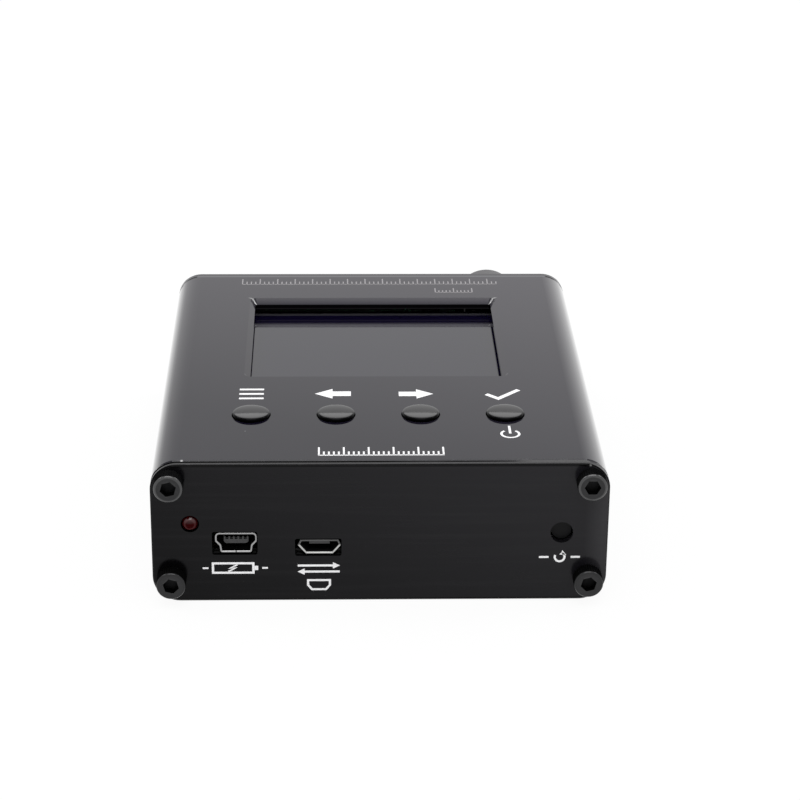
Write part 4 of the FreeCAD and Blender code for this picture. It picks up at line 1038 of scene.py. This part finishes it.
# %% The profiles of both kinds of screw
# The outer part of the rolled edge takes painted shade, like the knurled side and the hexagon.
rolled_edge = [(2.13 + 0.45 * math.cos(turn), 2.55 + 0.45 * math.sin(turn), RIM if turn > 0.4 else SHADED_ROLL)
               for turn in np.linspace(np.pi / 2, 0.0, 8)]
front_rows = [(axis_radius, 1.4, FACE), (1.0, 1.4, HEXAGON), (1.0, 2.90, HEXAGON), (1.49, 2.98, FACE),
              (1.53, 3.0, FACE), (2.10, 3.0, FACE), *rolled_edge, (2.60, 2.45, KNURL), (2.60, 0.3, KNURL),
              (2.5, 0.06, KNURL), (2.4, 0.0, FACE), (axis_radius, 0.0, FACE)]
rear_rows = [(axis_radius, -1.05, FACE), (1.0, -1.05, HEXAGON), (1.0, -0.28, HEXAGON), (1.28, -0.08, FACE),
             (1.34, -0.05, FACE), (2.62, -0.05, FACE), (2.70, -0.08, RIM), (2.75, -0.14, RIM),
             (2.75, -0.25, FACE), (1.5, -1.5, FACE), (axis_radius, -1.5, FACE)]
screw_set("front_screws", front_rows, plate_face, outward=-1, across=2.5, thread=(0.0, -8.0))
screw_set("rear_screws", rear_rows, box_of("rear_plate")[1].y, outward=1, across=2.0, thread=(-1.4, -8.05))

# %% [markdown]
# ## The socket shells
#
# Each shell is folded from thin sheet, so it is a stroke along its outline. Its section runs deep
# into the case, with a rounded rim at the mouth. The small socket's mouth flares outwards. The
# plating stays bright on the rim, the inside carries painted shade, and so does the small socket's
# upper side.

# %% Shells of the two sockets
sheet_thickness = 0.35
shell_recess = 0.2
board_top = box_of("main_board")[1].z


def rounded_outline(corners, steps=7):
    """Points of a closed outline from (x, z, round) corners, with an arc at each round corner."""
    points, radii = np.split(np.array(corners, float), [2], axis=1)
    outline = []
    neighbours = zip(points, np.roll(points, 1, 0), np.roll(points, -1, 0), radii[:, 0])
    for here, before, after, radius in neighbours:
        if radius == 0:
            outline.append(here[None])
            continue
        back, ahead = before - here, after - here
        back, ahead = back / np.linalg.norm(back), ahead / np.linalg.norm(ahead)
        half = np.arccos(np.clip(back @ ahead, -1, 1)) / 2
        middle = here + (back + ahead) / np.linalg.norm(back + ahead) * radius / np.sin(half)
        first = here + back * radius / np.tan(half) - middle
        last = here + ahead * radius / np.tan(half) - middle
        begin = np.arctan2(first[1], first[0])
        turn = (np.arctan2(last[1], last[0]) - begin + np.pi) % (2 * np.pi) - np.pi
        outline.append(arc(middle, radius, *np.degrees([begin, begin + turn]), steps))
    return np.vstack(outline)


def socket_shell(name, metal, right_half, depth, throat, flare=0.0, seam=0.0, shade_above=math.inf):
    """A shell of thin sheet whose outline mirrors its right half, given from the bottom up.

    The mouth is rounded from throat outwards, and a flare widens it. A seam leaves the outline open
    at the bottom. The inner wall, between the last three corners of the section, is shaded."""
    middle = box_of(name)[2].x
    corners = [(middle + x, board_top + z, r) for x, z, r in right_half]
    corners += [(middle - x, board_top + z, r) for x, z, r in reversed(right_half)]
    outline = rounded_outline(corners)
    if seam:
        outline = np.vstack([[(middle + seam / 2, board_top)], outline, [(middle - seam / 2, board_top)]])
    out = 2 * flare / sheet_thickness
    mouth = [(0, -0.10), (0.3, -0.03), (0.7, 0), (1.3, 0), (1.7, -0.03), (2, -0.10)]
    section = [(0, -depth), (0, -throat), *((side - out, height) for side, height in mouth),
               (2, -throat), (2, -depth)]
    ring, faces = stroke(outline, sheet_thickness / 2, not seam, np.array(section) - (0, shell_recess))
    flat = ring.reshape(-1, 3)
    levels = np.array([flat[face, 1].mean() for face in faces]) - board_top
    number = np.arange(len(faces))
    end_caps = 2 if seam else 0
    inside = np.isin(number % len(section), (7, 8)) & (number < len(faces) - end_caps)
    # Painted shade: kind 1 on the inner wall, kind 2 on faces higher than shade_above.
    kinds = np.where(inside, 1, np.where(levels > shade_above, 2, 0))
    piece = add_piece(name.replace("_socket_shell", "_shell"), stand_on_plate(flat), faces, "case",
                      "steel_bright", metal, steel_shade, steel_dull_and_shade, kinds=kinds, weld=weld_distance)
    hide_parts(name)
    print(name + ":", len(faces), "faces")


socket_shell("charging_socket_shell", steel_darker,
             [(2.75, 0, 0.4), (2.925, 1.35, 0.4), (3.7, 2.2, 0.4), (3.7, 3.9, 0.8)],
             depth=8.6, throat=0.5, seam=0.15)
socket_shell("data_socket_shell", steel_bright, [(2.25, 0, 0), (3.5, 1.5, 0), (3.15, 2.2, 0)],
             depth=5.6, throat=0.7, flare=0.3, shade_above=1.85)

# %% [markdown]
# ## The studio
#
# The room is white and the light is soft. The world gives an even level at which a colour renders
# about as written, and four soft lamps add a gentle direction: one above the front, one on each
# side, and a wide one behind, which the near sides of the keys mirror. The floor keeps a faint
# shadow, and shows white to the camera, to reflections and through glass.


# %% World, lamps and floor
def white_rays(tree):
    """1 for the camera's rays and for those that a surface mirrors or lets through, else 0."""
    path = add(tree, "ShaderNodeLightPath").outputs
    kinds = ("Is Camera Ray", "Is Glossy Ray", "Is Transmission Ray")
    return math_node(tree, "MAXIMUM", *(path[kind] for kind in kinds))


def make_world():
    """Even light: white to the camera and to reflections, slightly lower for the lit surfaces."""
    world = bpy.data.worlds.new("studio")
    bpy.context.scene.world = world
    tree = empty_tree(world)
    glow = add(tree, "ShaderNodeBackground", in_Color=opaque(1.0),
               in_Strength=remap(tree, white_rays(tree), 0.0, 1.0, 0.75, 1.0))
    add(tree, "ShaderNodeOutputWorld", in_Surface=glow.outputs[0])


def soft_lamp(name, place, width, height, watts, aim=(0.0, 0.0, 0.0)):
    """A rectangular lamp that faces a point."""
    data = bpy.data.lights.new(name, "AREA")
    data.shape, data.size, data.size_y, data.energy = "RECTANGLE", width, height, watts
    lamp = bpy.data.objects.new(name, data)
    lamp.location = Vector(place)
    lamp.rotation_euler = (Vector(aim) - Vector(place)).to_track_quat("-Z", "Y").to_euler()
    bpy.context.scene.collection.objects.link(lamp)


def make_floor(half=6000.0, count=13, below=-0.05):
    """A wide pale floor: a flat grid with the object's shadow on it."""
    x, y = np.meshgrid(*[np.linspace(-half, half, count)] * 2, indexing="ij")
    points = np.stack([x, y, np.full_like(x, below)], axis=-1).reshape(-1, 3)
    material = bpy.data.materials.new("floor white")
    tree = empty_tree(material)
    matt = add(tree, "ShaderNodeBsdfDiffuse", in_Color=opaque(0.9))
    white = add(tree, "ShaderNodeEmission", in_Color=opaque(1.0), in_Strength=1.0)
    mix = add(tree, "ShaderNodeMixShader", in_0=math_node(tree, "MULTIPLY", white_rays(tree), 0.93),
              in_1=matt.outputs[0], in_2=white.outputs[0])
    add(tree, "ShaderNodeOutputMaterial", in_Surface=mix.outputs[0])
    new_object("floor", points, grid_faces(count, count, False, False), material)


make_world()
soft_lamp("top_lamp", (0.0, -0.40, 0.92), 0.7, 0.7, watts=4.0)
for side, name in ((-1, "left_lamp"), (1, "right_lamp")):
    soft_lamp(name, (side * 0.68, 0.16, 0.70), 0.30, 0.30, watts=1.4)
soft_lamp("back_lamp", (0.0, 0.764, 0.643), 0.8, 0.33, watts=1.2, aim=(0.0, -0.024, 0.027))
make_floor()
print("studio ready")
